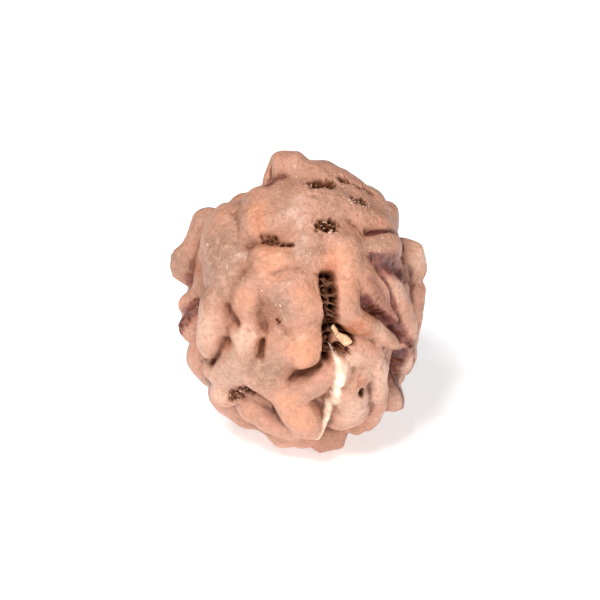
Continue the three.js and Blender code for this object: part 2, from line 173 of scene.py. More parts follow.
CREASES = (
    Feature("outer groove", 0.45, 0.75,
            ((5.2, 5.2), (6.8, 5.1), (8.0, 5.0), (9.0, 4.4), (9.35, 3.4), (9.5, 2.3), (9.7, 1.2),
             (9.8, 0.3))),
    Feature("stained hollow", 0.9, 1.0, ((6.9, 2.4), (8.9, 2.2))),
    Feature("hollow at the top of the inner groove", 0.5, 0.6, ((5.2, -0.2), (5.6, -0.7))),
    Feature("inner groove", 0.55, 1.2, ((5.4, -0.3), (6.1, -0.9), (6.9, -1.6), (7.7, -2.4), (8.25, -3.3))),
    Feature("edge of the rough strip", 0.4, 0.45,
            ((6.2, 2.3), (6.7, 1.45), (7.2, 0.5), (7.55, -0.6), (7.9, -1.75), (8.3, -2.9))),
    Feature("side groove", 0.8, 1.2, ((8.7, -3.9), (8.6, -5.3), (8.3, -6.8), (7.8, -8.0), (7.3, -9.0))),
    Feature("crease under the foot", 0.5, 1.1, ((5.6, -3.2), (6.4, -3.6), (7.4, -4.4))),
    Feature("crease under the hook", 0.5, 1.3, ((3.8, -3.0), (4.7, -3.3), (5.6, -3.2))),
    Feature("crease between the pillows", 0.6, 1.0, ((-5.9, -3.3), (-6.6, -4.4), (-7.4, -5.2))),
    Feature("crease left of the nose", 0.5, 0.7, ((-5.4, -0.7), (-5.1, -1.4), (-4.8, -2.0))),
    Feature("crease over the left pillow", 0.8, 1.2, ((-9.3, -0.6), (-9.7, -1.6), (-9.7, -2.6))),
    Feature("slit beside the tongue", 0.5, 0.9, ((-3.2, -3.3), (-3.3, -4.5))),
    Feature("crease under the tongue", 0.55, 1.1,
            ((-4.3, -7.7), (-3.6, -8.3), (-2.7, -8.8), (-2.2, -9.8))),
    Feature("crease under the lip", 0.65, 1.1,
            ((-0.6, -7.0), (0.3, -6.5), (1.0, -5.9), (1.7, -5.4), (2.1, -4.8))),
    Feature("crease over the lip", 0.9, 0.2, ((-1.6, -2.3), (0.0, -2.4), (1.4, -2.6))),
    Feature("crease under the cheek", 0.9, 0.2, ((-2.7, 1.5), (-1.4, 2.0), (0.6, 2.2))),
    Feature("crease right of the nose", 0.8, 0.3, ((-3.2, 0.4), (-3.0, -0.7), (-3.2, -1.9))),
    Feature("notch over the chin", 0.5, 0.7, ((1.0, -8.4), (1.75, -9.2), (1.9, -10.0))),
    Feature("undercut of the crown knob", 0.6, 1.1, ((-2.6, 11.0), (-3.0, 10.1))),
    Feature("dimple behind the edge knob", 0.6, 0.9, ((-9.6, 3.4), (-9.9, 2.2))),
    Feature("notch under the edge knob", 0.9, 1.1, ((-10.0, 1.1), (-10.1, 0.2))),
    Feature("notch beside the toe", 0.6, 1.1, ((3.9, -11.6),)),
)

FINE_CREASES = (
    Feature("edge line", 0.28, 0.5, ((9.65, -1.4), (9.5, -4.0))),
    Feature("crease in the arch", 0.3, 0.4, ((6.2, -5.4), (6.4, -6.6), (6.5, -7.9))),
    Feature("crease left of the foot", 0.4, 0.35, ((4.9, -5.4), (4.8, -6.6), (5.0, -7.4))),
    Feature("crack left of the cleft", 0.16, 0.5, ((0.3, 2.0), (0.9, 2.1), (1.6, 1.9))),
    Feature("crease down from the plateau pit", 0.4, 0.25, ((4.0, 6.2), (4.6, 5.5), (5.0, 5.0))),
    Feature("crease on the left shoulder", 0.5, 0.22, ((-5.3, 7.2), (-5.0, 5.9), (-5.3, 4.5))),
    Feature("crease at the end of the foot", 0.35, 0.6, ((7.2, -3.9), (8.0, -4.3), (8.9, -4.2))),
)

CLEFT = (
    Feature("cleft", 0.52, 2.9,
            ((2.15, 1.8), (2.25, 0.7), (2.4, -0.6), (2.45, -1.9), (2.45, -3.0), (2.3, -4.1), (2.2, -4.8))),
    Feature("branch of the cleft", 0.42, 1.9, ((2.85, -2.6), (3.5, -3.1), (4.1, -3.5))),
    Feature("pocket beside the cleft", 0.34, 1.6, ((3.15, -4.2), (3.55, -4.3))),
)

PITS = (
    Feature("crown pit", 0.55, 0.9, ((1.0, 9.05), (2.35, 9.05))),
    Feature("rim pit", 0.3, 0.6, ((3.3, 9.5), (4.0, 9.4))),
    Feature("rim pit, middle", 0.24, 0.5, ((4.45, 9.25), (4.95, 9.05))),
    Feature("rim pit, right", 0.28, 0.5, ((5.4, 9.0), (6.0, 8.75))),
    Feature("plateau pit", 0.45, 0.8, ((4.5, 7.95), (5.35, 7.75))),
    Feature("plateau pit tail", 0.22, 0.5, ((5.7, 7.6), (6.4, 7.2))),
    Feature("middle pit", 0.5, 1.0, ((1.65, 5.7), (2.6, 5.7))),
    Feature("temple pit", 0.38, 0.5, ((-2.95, 4.9), (-2.1, 4.7))),
    Feature("temple slit", 0.18, 0.7, ((-1.4, 4.3), (-0.65, 4.2))),
    Feature("left pit", 0.5, 1.0, ((-4.8, -8.0), (-4.2, -8.2))),
    Feature("pit in the small lump", 0.5, 0.8, ((-5.5, -8.3),)),
    Feature("pit in the foot", 0.36, 0.9, ((4.75, -7.35),)),
    Feature("pinhole", 0.22, 0.4, ((-1.8, -1.9),)),
    Feature("spots over the plateau", 0.16, 0.2, ((0.75, 7.9), (1.25, 7.75))),
)

DIPS = (
    Feature("dip in the great lobe", 1.5, 0.55, ((-2.1, -1.2),)),
)

STAINS_AND_SHADE = (
    Ribbon("stained hollow", 1.0, ((5.9, 3.5), (6.9, 2.9), (8.1, 2.6), (9.3, 2.4), (9.9, 2.0)),
           (0.35, 0.85, 0.95, 0.75, 0.6)),
    Ribbon("outer groove", 1.0, ((5.9, 5.75), (7.2, 5.6), (8.5, 5.4), (9.5, 4.8), (9.9, 3.8), (10.0, 2.9)),
           (0.12, 0.22, 0.3, 0.36, 0.36, 0.36)),
    Ribbon("dark end of the outer groove", 1.0, ((10.0, 2.9), (10.25, 1.8), (10.5, 0.7)), (0.35, 0.45, 0.35)),
    Ribbon("rough strip", 0.45, ((5.8, 1.6), (6.45, 0.65), (7.2, -0.65), (7.7, -1.7)), (0.4, 0.7, 0.7, 0.5)),
    Ribbon("top of the inner groove", 1.0, ((5.5, -0.1), (6.0, -0.7)), (0.5, 0.5)),
    Ribbon("inner groove", 0.95, ((6.1, -0.7), (7.1, -1.6), (8.1, -2.5), (8.8, -3.3), (9.3, -4.1)),
           (0.45, 0.5, 0.45, 0.4, 0.4)),
    Ribbon("edge of the rough strip", 0.85,
           ((6.8, 2.5), (7.2, 1.5), (7.8, 0.3), (8.1, -1.0), (8.5, -2.2), (8.9, -3.1)),
           (0.35, 0.2, 0.2, 0.22, 0.25, 0.3)),
    Ribbon("side groove", 1.1, ((9.45, -4.1), (9.2, -5.6), (8.8, -7.2), (8.3, -8.4), (7.7, -9.4)),
           (0.45, 0.4, 0.4, 0.4, 0.35)),
    Ribbon("rough ground beside the groove", 0.6, ((9.7, -4.6), (9.7, -5.8), (9.5, -6.6)), (0.3, 0.2, 0.15)),
    Ribbon("left crevice", 0.95, ((-9.4, -0.5), (-10.0, -1.4), (-10.2, -2.6)), (0.5, 0.8, 0.6)),
    Ribbon("left knob", 0.8, ((-10.0, 3.2), (-10.2, 2.4), (-10.4, 1.6)), (0.35, 0.4, 0.6)),
    Ribbon("edge line", 0.8, ((9.9, -0.6), (9.9, -2.4), (9.7, -4.2)), (0.22, 0.22, 0.2)),
    # Painted shade under the overhang of the crown knob, in the stain colour.
    Ribbon("undercut of the crown knob", 0.8, ((-1.9, 10.9), (-2.8, 9.9)), (0.35, 0.4)),
    # Painted shade in the crease left of the nose, in the stain colour.
    Ribbon("crease left of the nose", 0.5, ((-5.9, -0.6), (-5.4, -1.4), (-5.1, -2.0)), (0.2, 0.35, 0.4)),
    Ribbon("left pit", 0.6, ((-5.8, -8.2), (-4.0, -7.8)), (0.5, 0.45)),
)

SEAM = Ribbon(
    "torn seam", 1.0,
    ((2.95, -4.5), (3.1, -5.1), (3.4, -5.9), (3.25, -6.75), (3.05, -7.8), (2.85, -8.9), (2.5, -10.1),
     (2.1, -11.0), (1.5, -11.5), (0.75, -12.1)),
    (0.06, 0.22, 0.46, 0.34, 0.3, 0.28, 0.24, 0.2, 0.16, 0.1),
)

WARM_PATCHES = (
    Patch("cheek", 1.0, (-2.6, 3.4), 2.1),
    Patch("temple", 0.8, (-3.6, 7.4), 1.6),
    Patch("under the temple", 0.9, (-3.7, 5.9), 1.3),
    Patch("lip", 1.2, (0.5, -4.3), 1.6),
    Patch("great lobe", 0.7, (0.6, 0.2), 1.5),
    # Painted reddish shade on the hook's left face, in the warm colour.
    Patch("left of the hook", 1.2, (2.9, 3.0), 1.3),
    Patch("shaft of the hook", 0.7, (4.0, 1.2), 2.0),
    Patch("foot of the hook", 0.6, (5.6, -1.7), 1.3),
    # Painted reddish shade under the foot of the hook, in the warm colour.
    Patch("under the foot", 1.4, (4.5, -2.5), 0.9),
    Patch("nose", 0.9, (-4.7, 0.2), 1.4),
    Patch("chin", 0.7, (0.4, -9.9), 2.2),
    Patch("chin ridge", 0.8, (-1.2, -8.6), 1.6),
    Patch("toe", 0.8, (2.7, -11.9), 1.4),
    Patch("brow", 0.6, (6.6, 7.1), 1.5),
    Patch("left shoulder", 0.4, (-7.2, 6.4), 2.2),
    Patch("lower band", 0.5, (-3.0, -9.2), 1.5),
)

DUST_PATCHES = (
    Patch("left shoulder", 1.0, (-6.4, 2.9), 4.0),
    Patch("left brow", 0.6, (-8.9, 6.2), 2.4),
    # The left edge and left knob: dust, and painted shade of the side that turns from the light.
    Patch("left edge", 0.9, (-9.2, 0.6), 1.8),
    Patch("left knob", 1.0, (-10.3, 3.2), 1.8),
    Patch("over the temple", 0.7, (-5.4, 6.6), 1.5),
    Patch("beside the cheek", 0.8, (-4.8, 4.6), 1.6),
    Patch("brow of the face", 0.45, (-1.0, 7.4), 3.0),
    Patch("plateau", 0.4, (2.6, 8.0), 3.2),
    Patch("crown", 0.35, (-0.6, 10.2), 2.0),
    Patch("dip in the great lobe", 1.1, (-2.0, -0.9), 1.9),
    Patch("bridge over the cleft", 0.6, (0.6, 4.3), 2.2),
    Patch("tongue", 0.9, (-2.7, -5.9), 2.4),
    Patch("lower left slope", 0.5, (-6.0, -6.0), 2.6),
    Patch("eye lobe", 0.6, (6.2, 4.6), 1.5),
    Patch("left of the nose", 0.6, (-7.3, 0.2), 1.8),
    Patch("outer right ridge", 0.25, (8.9, -4.9), 1.2),
    Patch("fold left of the seam", 0.4, (0.6, -7.4), 1.6),
)

# Painted shade: reddish brown under the foot of the hook, beside the cleft, under the temple, and in notches,
# slits, pits and creases.
REDDISH_SHADE_PATCHES = (
    Patch("under the foot", 1.2, (4.5, -2.4), 0.8),
    Patch("end of the red edge", 1.0, (5.4, -2.9), 0.6),
    Patch("beside the top of the cleft", 0.8, (2.6, 2.6), 0.8),
    Patch("notch beside the toe", 1.2, (3.9, -11.6), 0.8),
    Patch("left edge knob", 1.0, (-9.8, 2.9), 0.8),
    Patch("under the temple", 0.6, (-3.5, 6.5), 0.9),
    Patch("crease left of the nose", 0.7, (-5.3, -1.6), 0.8),
    Patch("slit beside the tongue", 0.8, (-3.2, -3.8), 0.7),
    Patch("crease between the pillows", 0.6, (-6.3, -3.9), 0.9),
    Patch("pit in the foot", 0.8, (5.1, -7.0), 0.7),
)

# Painted highlight: pale peach on the crowns of lobes and on the lower parts, which the light and the floor's
# bounce brighten.
PAINTED_HIGHLIGHT_PATCHES = (
    Patch("left pillow", 0.8, (-7.7, -2.6), 2.2),
    Patch("middle pillow", 0.9, (-4.4, -3.4), 1.7),
    Patch("lower left slope", 0.9, (-6.2, -5.8), 2.8),
    Patch("small left lump", 0.8, (-6.9, -8.0), 1.7),
    Patch("arch", 1.0, (6.2, -7.0), 2.6),
    Patch("foot right of the seam", 0.9, (4.4, -9.0), 2.3),
    Patch("knuckle", 0.9, (4.3, -5.4), 1.5),
    Patch("right edge knob", 1.0, (10.4, 3.6), 1.8),
    Patch("inner right fold", 0.5, (8.4, 0.8), 1.6),
    Patch("foot of the hook", 0.6, (6.6, -2.3), 1.4),
    Patch("right edge", 0.7, (9.8, -2.4), 1.8),
    Patch("outer right ridge", 1.5, (9.9, -5.8), 2.0),
    Patch("right heel", 1.0, (9.0, -8.8), 1.6),
)


def draw(number: np.ndarray | float) -> np.ndarray | float:
    """A repeatable draw from 0 to 1 for each number: the fraction of a large multiple of a sine.

    Args:
        number: any whole number or array of them.

    Returns:
        One value from 0 to 1 for each.
    """
    pace = 12.9898
    start = 4.1414
    large = 43758.5453
    x = np.sin(number * pace + start) * large
    return x - np.floor(x)


def along_line(places: np.ndarray, at: np.ndarray) -> np.ndarray:
    """Places along a line of straight pieces.

    Args:
        places: the line's own places, one a row.
        at: where along it, in pieces from the start.

    Returns:
        One place a row.
    """
    numbers = np.arange(len(places))
    return np.stack([np.interp(at, numbers, places[:, axis]) for axis in (0, 1)], axis=1)


def even_direction(k: float, n: int) -> np.ndarray:
    """Direction number k of n, spread evenly on a golden spiral.

    Args:
        k: which of them, counted from 0.
        n: how many there are in all.

    Returns:
        A unit direction.
    """
    z = 1 - (2 * k + 1) / n
    turn = k * math.pi * (3 - math.sqrt(5))
    ring = math.sqrt(1 - z * z)
    return np.array([ring * math.cos(turn), ring * math.sin(turn), z])


def waves(points: np.ndarray, length: float, seed: int) -> np.ndarray:
    """A smooth irregular height between about -1 and 1: plane waves of nearly one length, added up.

    Args:
        points: places, one a row, in millimetres.
        length: the waves' mean length.
        seed: which field it is.

    Returns:
        One height for each place.
    """
    count = 7
    total = np.zeros(len(points))
    for k in range(count):
        way = even_direction(k + 0.5 * draw(seed + k), count)
        pace = 2 * math.pi / (length * (0.8 + 0.5 * draw(seed * 3 + k)))
        total += np.sin(points @ way * pace + 2 * math.pi * draw(seed * 7 + k))
    return total / math.sqrt(count)


# Large odd factors, and the largest value that a cell's place is mixed to
PLACE_FACTORS = np.array([73856093, 19349663, 83492791], dtype=np.int64)
SEED_FACTOR = 2654435
MIX_FACTORS = (1274126177, 461845907)
LARGEST_MIX = 0x7FFFFFFF


def cell_draw(cells: np.ndarray, seed: int) -> np.ndarray:
    """A repeatable draw from 0 to 1 for each cell of a cubic lattice, by mixing its whole-number place.

    Args:
        cells: whole-number places, three to a row.
        seed: which draw it is.

    Returns:
        One value from 0 to 1 for each cell.
    """
    mixed = np.bitwise_xor.reduce(cells * PLACE_FACTORS, axis=-1) ^ seed * SEED_FACTOR
    mixed = (mixed ^ (mixed >> 13)) * MIX_FACTORS[0] & LARGEST_MIX
    mixed = (mixed ^ (mixed >> 15)) * MIX_FACTORS[1] & LARGEST_MIX
    return (mixed ^ (mixed >> 12)) / LARGEST_MIX


def grain(points: np.ndarray, size: float, seed: int) -> np.ndarray:
    """Smooth noise from -1 to 1: draws at the corners of a cubic lattice, blended by the quintic fade.

    Args:
        points: places, one a row, in millimetres.
        size: the lattice's pitch.
        seed: which field it is.

    Returns:
        One value for each place.
    """
    scaled = points / size
    corner = np.floor(scaled).astype(np.int64)
    share = scaled - corner
    fade = share**3 * (share * (share * 6 - 15) + 10)
    total = np.zeros(len(points))
    for offset in np.ndindex(2, 2, 2):
        step = np.array(offset)
        weight = np.prod(np.where(step == 1, fade, 1 - fade), axis=1)
        total += weight * cell_draw(corner + step, seed)
    return total * 2 - 1


def sponge(points: np.ndarray, size: float, seed: int) -> np.ndarray:
    """Cell walls: the distance to the second nearest seed point less that to the nearest, over the cell size.

    Args:
        points: places, one a row, in millimetres.
        size: pitch of the cells, each of which holds one seed point.
        seed: which field it is.

    Returns:
        0 on a wall between two cells, and up to about 0.8 in the middle of a cell.
    """
    scaled = points / size
    corner = np.floor(scaled).astype(np.int64)
    nearest = np.full(len(points), np.inf)
    second = np.full(len(points), np.inf)
    for offset in np.ndindex(3, 3, 3):
        cell = corner + np.array(offset) - 1
        jitter = np.stack([cell_draw(cell, seed + axis) for axis in range(3)], axis=1)
        gap = np.linalg.norm(cell + jitter - scaled, axis=1)
        second = np.minimum(second, np.maximum(nearest, gap))
        nearest = np.minimum(nearest, gap)
    return second - nearest


def smooth(values: np.ndarray, low: float, high: float) -> np.ndarray:
    """The smooth step from 0 at low to 1 at high: three times the square less twice the cube.

    Args:
        values: what is stepped.
        low: where the step starts; it may be above high, and then the step falls.
        high: where it ends.

    Returns:
        Values from 0 to 1.
    """
    share = np.clip((values - low) / (high - low), 0, 1)
    return share * share * (3 - 2 * share)


def nearest_on(points: np.ndarray, line: np.ndarray) -> tuple[np.ndarray, np.ndarray]:
    """The nearest place on a line of straight pieces, by projection onto each piece.

    Args:
        points: places, one a row.
        line: the line's own points, one a row.

    Returns:
        The distance of each place, and where along the line its nearest place is, in pieces from the start.
    """
    if len(line) == 1:
        return np.linalg.norm(points - line[0], axis=1), np.zeros(len(points))
    best = np.full(len(points), np.inf)
    where = np.zeros(len(points))
    for number, (start, end) in enumerate(zip(line[:-1], line[1:])):
        piece = end - start
        share = np.clip((points - start) @ piece / (piece @ piece), 0, 1)
        gap = np.sum((points - start - share[:, None] * piece) ** 2, axis=1)
        where = np.where(gap < best, number + share, where)
        best = np.minimum(best, gap)
    return np.sqrt(best), where


@dataclass(frozen=True)
class Ramp:
    """A smooth rise from 0 at low to the most at high. It falls where low is above high."""

    low: float
    high: float
    most: float = 1.0

    def of(self, values: np.ndarray) -> np.ndarray:
        """The rise at each value."""
        return self.most * smooth(values, self.low, self.high)


@dataclass(frozen=True)
class Uneven:
    """An unevenness: its height and the size of its lumps in millimetres, and which field it is."""

    height: float
    size: float
    seed: int

    def lumps(self, points: np.ndarray) -> np.ndarray:
        """Its height at each place, by noise."""
        return self.height * grain(points, self.size, self.seed)

    def rolls(self, points: np.ndarray) -> np.ndarray:
        """Its height at each place, by waves, which are softer than noise."""
        return self.height * waves(points, self.size, self.seed)

    def shake(self, points: np.ndarray) -> np.ndarray:
        """How far it moves each place in three directions, by noise."""
        moves = [grain(points, self.size, self.seed + axis) for axis in range(3)]
        return self.height * np.stack(moves, axis=1)

    def drift(self, points: np.ndarray) -> np.ndarray:
        """How far it moves each place in three directions, by waves."""
        moves = [waves(points, self.size, self.seed + axis) for axis in range(3)]
        return self.height * np.stack(moves, axis=1)


@dataclass(frozen=True)
class Sponge:
    """Thin walls that stand in a hollow.

    The fields are the pitch of the cells, which sponge it is, where a wall ends, where a cell's floor starts,
    and the share of the hollow's depth that a wall's top lies at. The two places are as sponge() counts them.
    """

    pitch: float
    seed: int
    wall: float
    floor: float
    top: float = 0.0

    def depth(self, points: np.ndarray) -> np.ndarray:
        """The share of the hollow's depth at each place."""
        cells = smooth(sponge(points, self.pitch, self.seed), self.wall, self.floor)
        return self.top + (1 - self.top) * cells


@dataclass(frozen=True)
class Face:
    """The plane that the folds are drawn on. It looks up by a tilt, and its middle is the stone's middle."""

    tilt_deg: float = 25.0
    mean: tuple[float, float, float] = (10.0, 9.8, 12.6)
    trace_step: float = 1.0

    @property
    def right(self) -> np.ndarray:
        """The face's direction to the right."""
        return np.array([1.0, 0.0, 0.0])

    @property
    def up(self) -> np.ndarray:
        """The face's direction up."""
        tilt = math.radians(self.tilt_deg)
        return np.array([0.0, math.sin(tilt), math.cos(tilt)])

    @property
    def out(self) -> np.ndarray:
        """The direction that the face looks in."""
        tilt = math.radians(self.tilt_deg)
        return np.array([0.0, -math.cos(tilt), math.sin(tilt)])

    def onto_mean(self, points: np.ndarray) -> np.ndarray:
        """Moves points along their rays to the mean surface, an ellipsoid.

        Args:
            points: places, one a row.

        Returns:
            The same number of places, each divided by its length measured in the ellipsoid's half sizes.
        """
        return points / np.linalg.norm(points / np.array(self.mean), axis=-1, keepdims=True)

    def lift(self, places: np.ndarray) -> np.ndarray:
        """Sets places drawn on the face down on the mean surface; those past the outline go to the outline.

        Formula: the height above the drawing is the larger root of the ellipsoid's quadratic equation.

        Args:
            places: across and up, one pair a row.

        Returns:
            One point a row.
        """
        flat = places[:, :1] * self.right + places[:, 1:] * self.up
        flat_ratio = flat / np.array(self.mean)
        out_ratio = self.out / np.array(self.mean)
        a = out_ratio @ out_ratio
        b = 2 * flat_ratio @ out_ratio
        c = np.sum(flat_ratio**2, axis=1) - 1
        height = (-b + np.sqrt(np.maximum(b * b - 4 * a * c, 0))) / (2 * a)
        return self.onto_mean(flat + height[:, None] * self.out)

    def trace(self, line: Line) -> np.ndarray:
        """Sets a drawn line down on the mean surface, with points between its own.

        Args:
            line: the line's places on the drawing.

        Returns:
            Points a step apart or closer, one a row.
        """
        drawn = np.array(line, dtype=float)
        if len(drawn) == 1:
            return self.lift(drawn)
        lengths = np.linalg.norm(np.diff(drawn, axis=0), axis=1)
        steps = np.ceil(lengths / self.trace_step).astype(int)
        shares = np.concatenate([[0.0], *[k + np.arange(1, n + 1) / n for k, n in enumerate(steps)]])
        return self.lift(along_line(drawn, shares))


@dataclass(frozen=True)
class Noise:
    """Smooth noise of a material: the size of its lumps in millimetres, its detail and its roughness."""

    size: float
    detail: float = 3.0
    roughness: float = 0.55


@dataclass(frozen=True)
class Blotches:
    """Where in a noise a colour starts and where it is full, and the largest share that it takes."""

    noise: Noise
    low: float
    high: float
    most: float = 1.0


@dataclass(frozen=True)
class WoodFinish:
    """Colours, blotches and gloss of the stone's outside. Colours are linear red, green and blue."""

    tan: Colour = (0.55, 0.275, 0.175)
    rose: Colour = (0.60, 0.285, 0.195)
    brown: Colour = (0.36, 0.165, 0.10)
    warm: Colour = (0.75, 0.325, 0.18)
    # Pale peach: random pale flecks, and the painted highlight.
    pale: Colour = (0.78, 0.49, 0.36)
    dust: Colour = (0.33, 0.185, 0.125)
    bloom: Colour = (0.56, 0.33, 0.245)
    # Painted shade: the brown laid down in the broad valleys.
    valley: Colour = (0.36, 0.15, 0.085)
    # Painted shade: the dark red-brown laid down in the creases.
    crease: Colour = (0.20, 0.065, 0.03)
    # Painted shade: the reddish brown of the narrow hollows.
    rust: Colour = (0.40, 0.115, 0.045)
    stain: Colour = (0.26, 0.078, 0.055)
    stain_core: Colour = (0.095, 0.026, 0.022)
    torn: Colour = (0.145, 0.045, 0.018)
    # Painted shade: the near black deep in the cleft and the pits.
    deep: Colour = (0.028, 0.008, 0.004)
    halo: Colour = (0.92, 0.62, 0.46)
    seam: Colour = (0.95, 0.86, 0.66)
    # Pale specks of grit, which also stand in for small painted glints.
    speck: Colour = (0.86, 0.66, 0.50)
    mottle: Noise = Noise(1.6, 4.0)
    fine: Noise = Noise(0.32, 3.0, 0.6)
    rosy: Blotches = Blotches(mottle, 0.35, 0.65)
    bloomy: Blotches = Blotches(Noise(0.7, 5.0, 0.7), 0.45, 0.62)
    brownish: Blotches = Blotches(Noise(0.45, 5.0, 0.75), 0.45, 0.68, 0.65)
    paler: Blotches = Blotches(Noise(0.3, 3.0, 0.6), 0.58, 0.72, 0.35)
    vein: Noise = Noise(1.3, 5.0, 0.62)
    vein_left: Blotches = Blotches(vein, 0.46, 0.5)
    vein_right: Blotches = Blotches(vein, 0.54, 0.5)
    darkest: Blotches = Blotches(Noise(0.6, 4.0, 0.7), 0.4, 0.56, 0.85)
    creamy: Blotches = Blotches(Noise(1.5, 2.0), 0.3, 0.6)
    speck_pitch: float = 0.55
    pore_pitch: float = 0.22
    pore_depth: float = 0.015
    dimples: Noise = Noise(0.9, 3.0, 0.6)
    dimple_depth: float = 0.3
    scuffs: Noise = Noise(0.28, 4.0, 0.65)
    scuff_depth: float = 0.12
    roughness: float = 0.40
    dusty_roughness: float = 0.66
    sheen_coat: float = 0.18
    coat_roughness: float = 0.28
    specular: float = 0.45
    scatter: float = 0.12
    scatter_depth: float = 0.5
    scatter_by_colour: Colour = (1.0, 0.4, 0.22)


@dataclass(frozen=True)
class PieceFinish:
    """Colours and gloss of a small woody piece that stands on the stone."""

    name: str
    light: Colour
    dark: Colour
    roughness: float
    grain_size: float
    relief: float = 0.03


FIBRE_FINISH = PieceFinish("cleft_fibre", (0.24, 0.09, 0.036), (0.06, 0.018, 0.008), 0.7, 0.25)
CHIP_FINISH = PieceFinish("torn_chip", (0.84, 0.57, 0.35), (0.52, 0.27, 0.13), 0.6, 0.18)
CRUMB_FINISH = PieceFinish("crumb", (0.80, 0.56, 0.43), (0.52, 0.29, 0.2), 0.4, 0.12)


class Shade:
    """A node material under construction: each method adds nodes and returns the socket that comes out."""

    def __init__(self, name: str) -> None:
        """Starts a material with one Principled shader.

        Args:
            name: the material's name.
        """
        self.material = bpy.data.materials.new(name)
        self.material.use_nodes = True
        self.tree = self.material.node_tree
        self.shader = self.tree.nodes["Principled BSDF"]
        self.place = self.tree.nodes.new("ShaderNodeTexCoord").outputs["Object"]
        self.noises: dict[Noise, Socket] = {}

    def link(self, source: Socket, target: Socket) -> None:
        """Joins two sockets."""
        self.tree.links.new(source, target)

    def attribute(self, layer: Layer) -> Socket:
        """A layer as the piece's attribute has it.

        Args:
            layer: which layer it is.

        Returns:
            Its amount, which goes above 1 where a patch is strong.
        """
        node = self.tree.nodes.new("ShaderNodeAttribute")
        node.attribute_name = layer.value
        return node.outputs["Fac"]

    def layer(self, layer: Layer, low: float = 0.0, high: float = 1.0, most: float = 1.0) -> Socket:
        """A layer brought from between low and high to between 0 and the most, held at both ends."""
        return self.step(self.attribute(layer), low, high, most)

    def noise(self, noise: Noise) -> Socket:
        """Smooth noise. One that is asked for again is the same node.

        Args:
            noise: its size, detail and roughness.

        Returns:
            A value from 0 to 1.
        """
        if noise not in self.noises:
            node = self.tree.nodes.new("ShaderNodeTexNoise")
            node.inputs["Scale"].default_value = 1 / (noise.size * MM)
            node.inputs["Detail"].default_value = noise.detail
            node.inputs["Roughness"].default_value = noise.roughness
            self.link(self.place, node.inputs["Vector"])
            self.noises[noise] = node.outputs["Fac"]
        return self.noises[noise]

    def blotches(self, blotches: Blotches) -> Socket:
        """A share that is laid in blotches."""
        return self.step(self.noise(blotches.noise), blotches.low, blotches.high, blotches.most)

    def cells(self, pitch: float) -> Socket:
        """Distance to the nearest of many scattered points.

        Args:
            pitch: how far apart they are, in millimetres.

        Returns:
            The distance over the pitch.
        """
        node = self.tree.nodes.new("ShaderNodeTexVoronoi")
        node.inputs["Scale"].default_value = 1 / (pitch * MM)
        self.link(self.place, node.inputs["Vector"])
        return node.outputs["Distance"]

    def step(self, value: Socket, low: float, high: float, most: float = 1.0) -> Socket:
        """A value brought from between low and high to between 0 and the most, held at both ends."""
        return self.between(value, low, high, 0.0, most)

    def between(self, value: Socket, low: float, high: float, least: float, most: float) -> Socket:
        """A value brought from between low and high to between the least and the most, held at both ends.

        Args:
            value: what is brought there.
            low: what becomes the least; it may be above high.
            high: what becomes the most.
            least: the result at low.
            most: the result at high.

        Returns:
            The new value.
        """
        node = self.tree.nodes.new("ShaderNodeMapRange")
        node.inputs["From Min"].default_value = low
        node.inputs["From Max"].default_value = high
        node.inputs["To Min"].default_value = least
        node.inputs["To Max"].default_value = most
        self.link(value, node.inputs["Value"])
        return node.outputs["Result"]

    def join(self, how: Joining, one: Socket, other: Socket | float) -> Socket:
        """One value put together with another.

        Args:
            how: times or plus.
            one: the first value.
            other: the second value, or a number.

        Returns:
            The result, held to 0 to 1.
        """
        node = self.tree.nodes.new("ShaderNodeMath")
        node.operation = how.value
        node.use_clamp = True
        self.link(one, node.inputs[0])
        if isinstance(other, float):
            node.inputs[1].default_value = other
        else:
            self.link(other, node.inputs[1])
        return node.outputs["Value"]

    def blend(self, share: Socket, under: Socket | Colour, over: Socket | Colour) -> Socket:
        """One colour going over to another.

        Args:
            share: 0 for the one under, 1 for the one over.
            under: the first colour.
            over: the second colour.

        Returns:
            The blended colour.
        """
        node = self.tree.nodes.new("ShaderNodeMix")
        node.data_type = "RGBA"
        self.link(share, node.inputs["Factor"])
        for name, colour in (("A", under), ("B", over)):
            if isinstance(colour, tuple):
                node.inputs[name].default_value = (*colour, 1.0)
            else:
                self.link(colour, node.inputs[name])
        return node.outputs["Result"]

    def bump(self, height: Socket, depth: float, before: Socket | None = None) -> Socket:
        """Fine relief, on top of an earlier one.

        Args:
            height: its shape, from 0 to 1.
            depth: how deep that is, in millimetres.
            before: the earlier relief, if there is one.

        Returns:
            The surface's direction with both.
        """
        node = self.tree.nodes.new("ShaderNodeBump")
        node.inputs["Distance"].default_value = depth * MM
        self.link(height, node.inputs["Height"])
        if before is not None:
            self.link(before, node.inputs["Normal"])
        return node.outputs["Normal"]


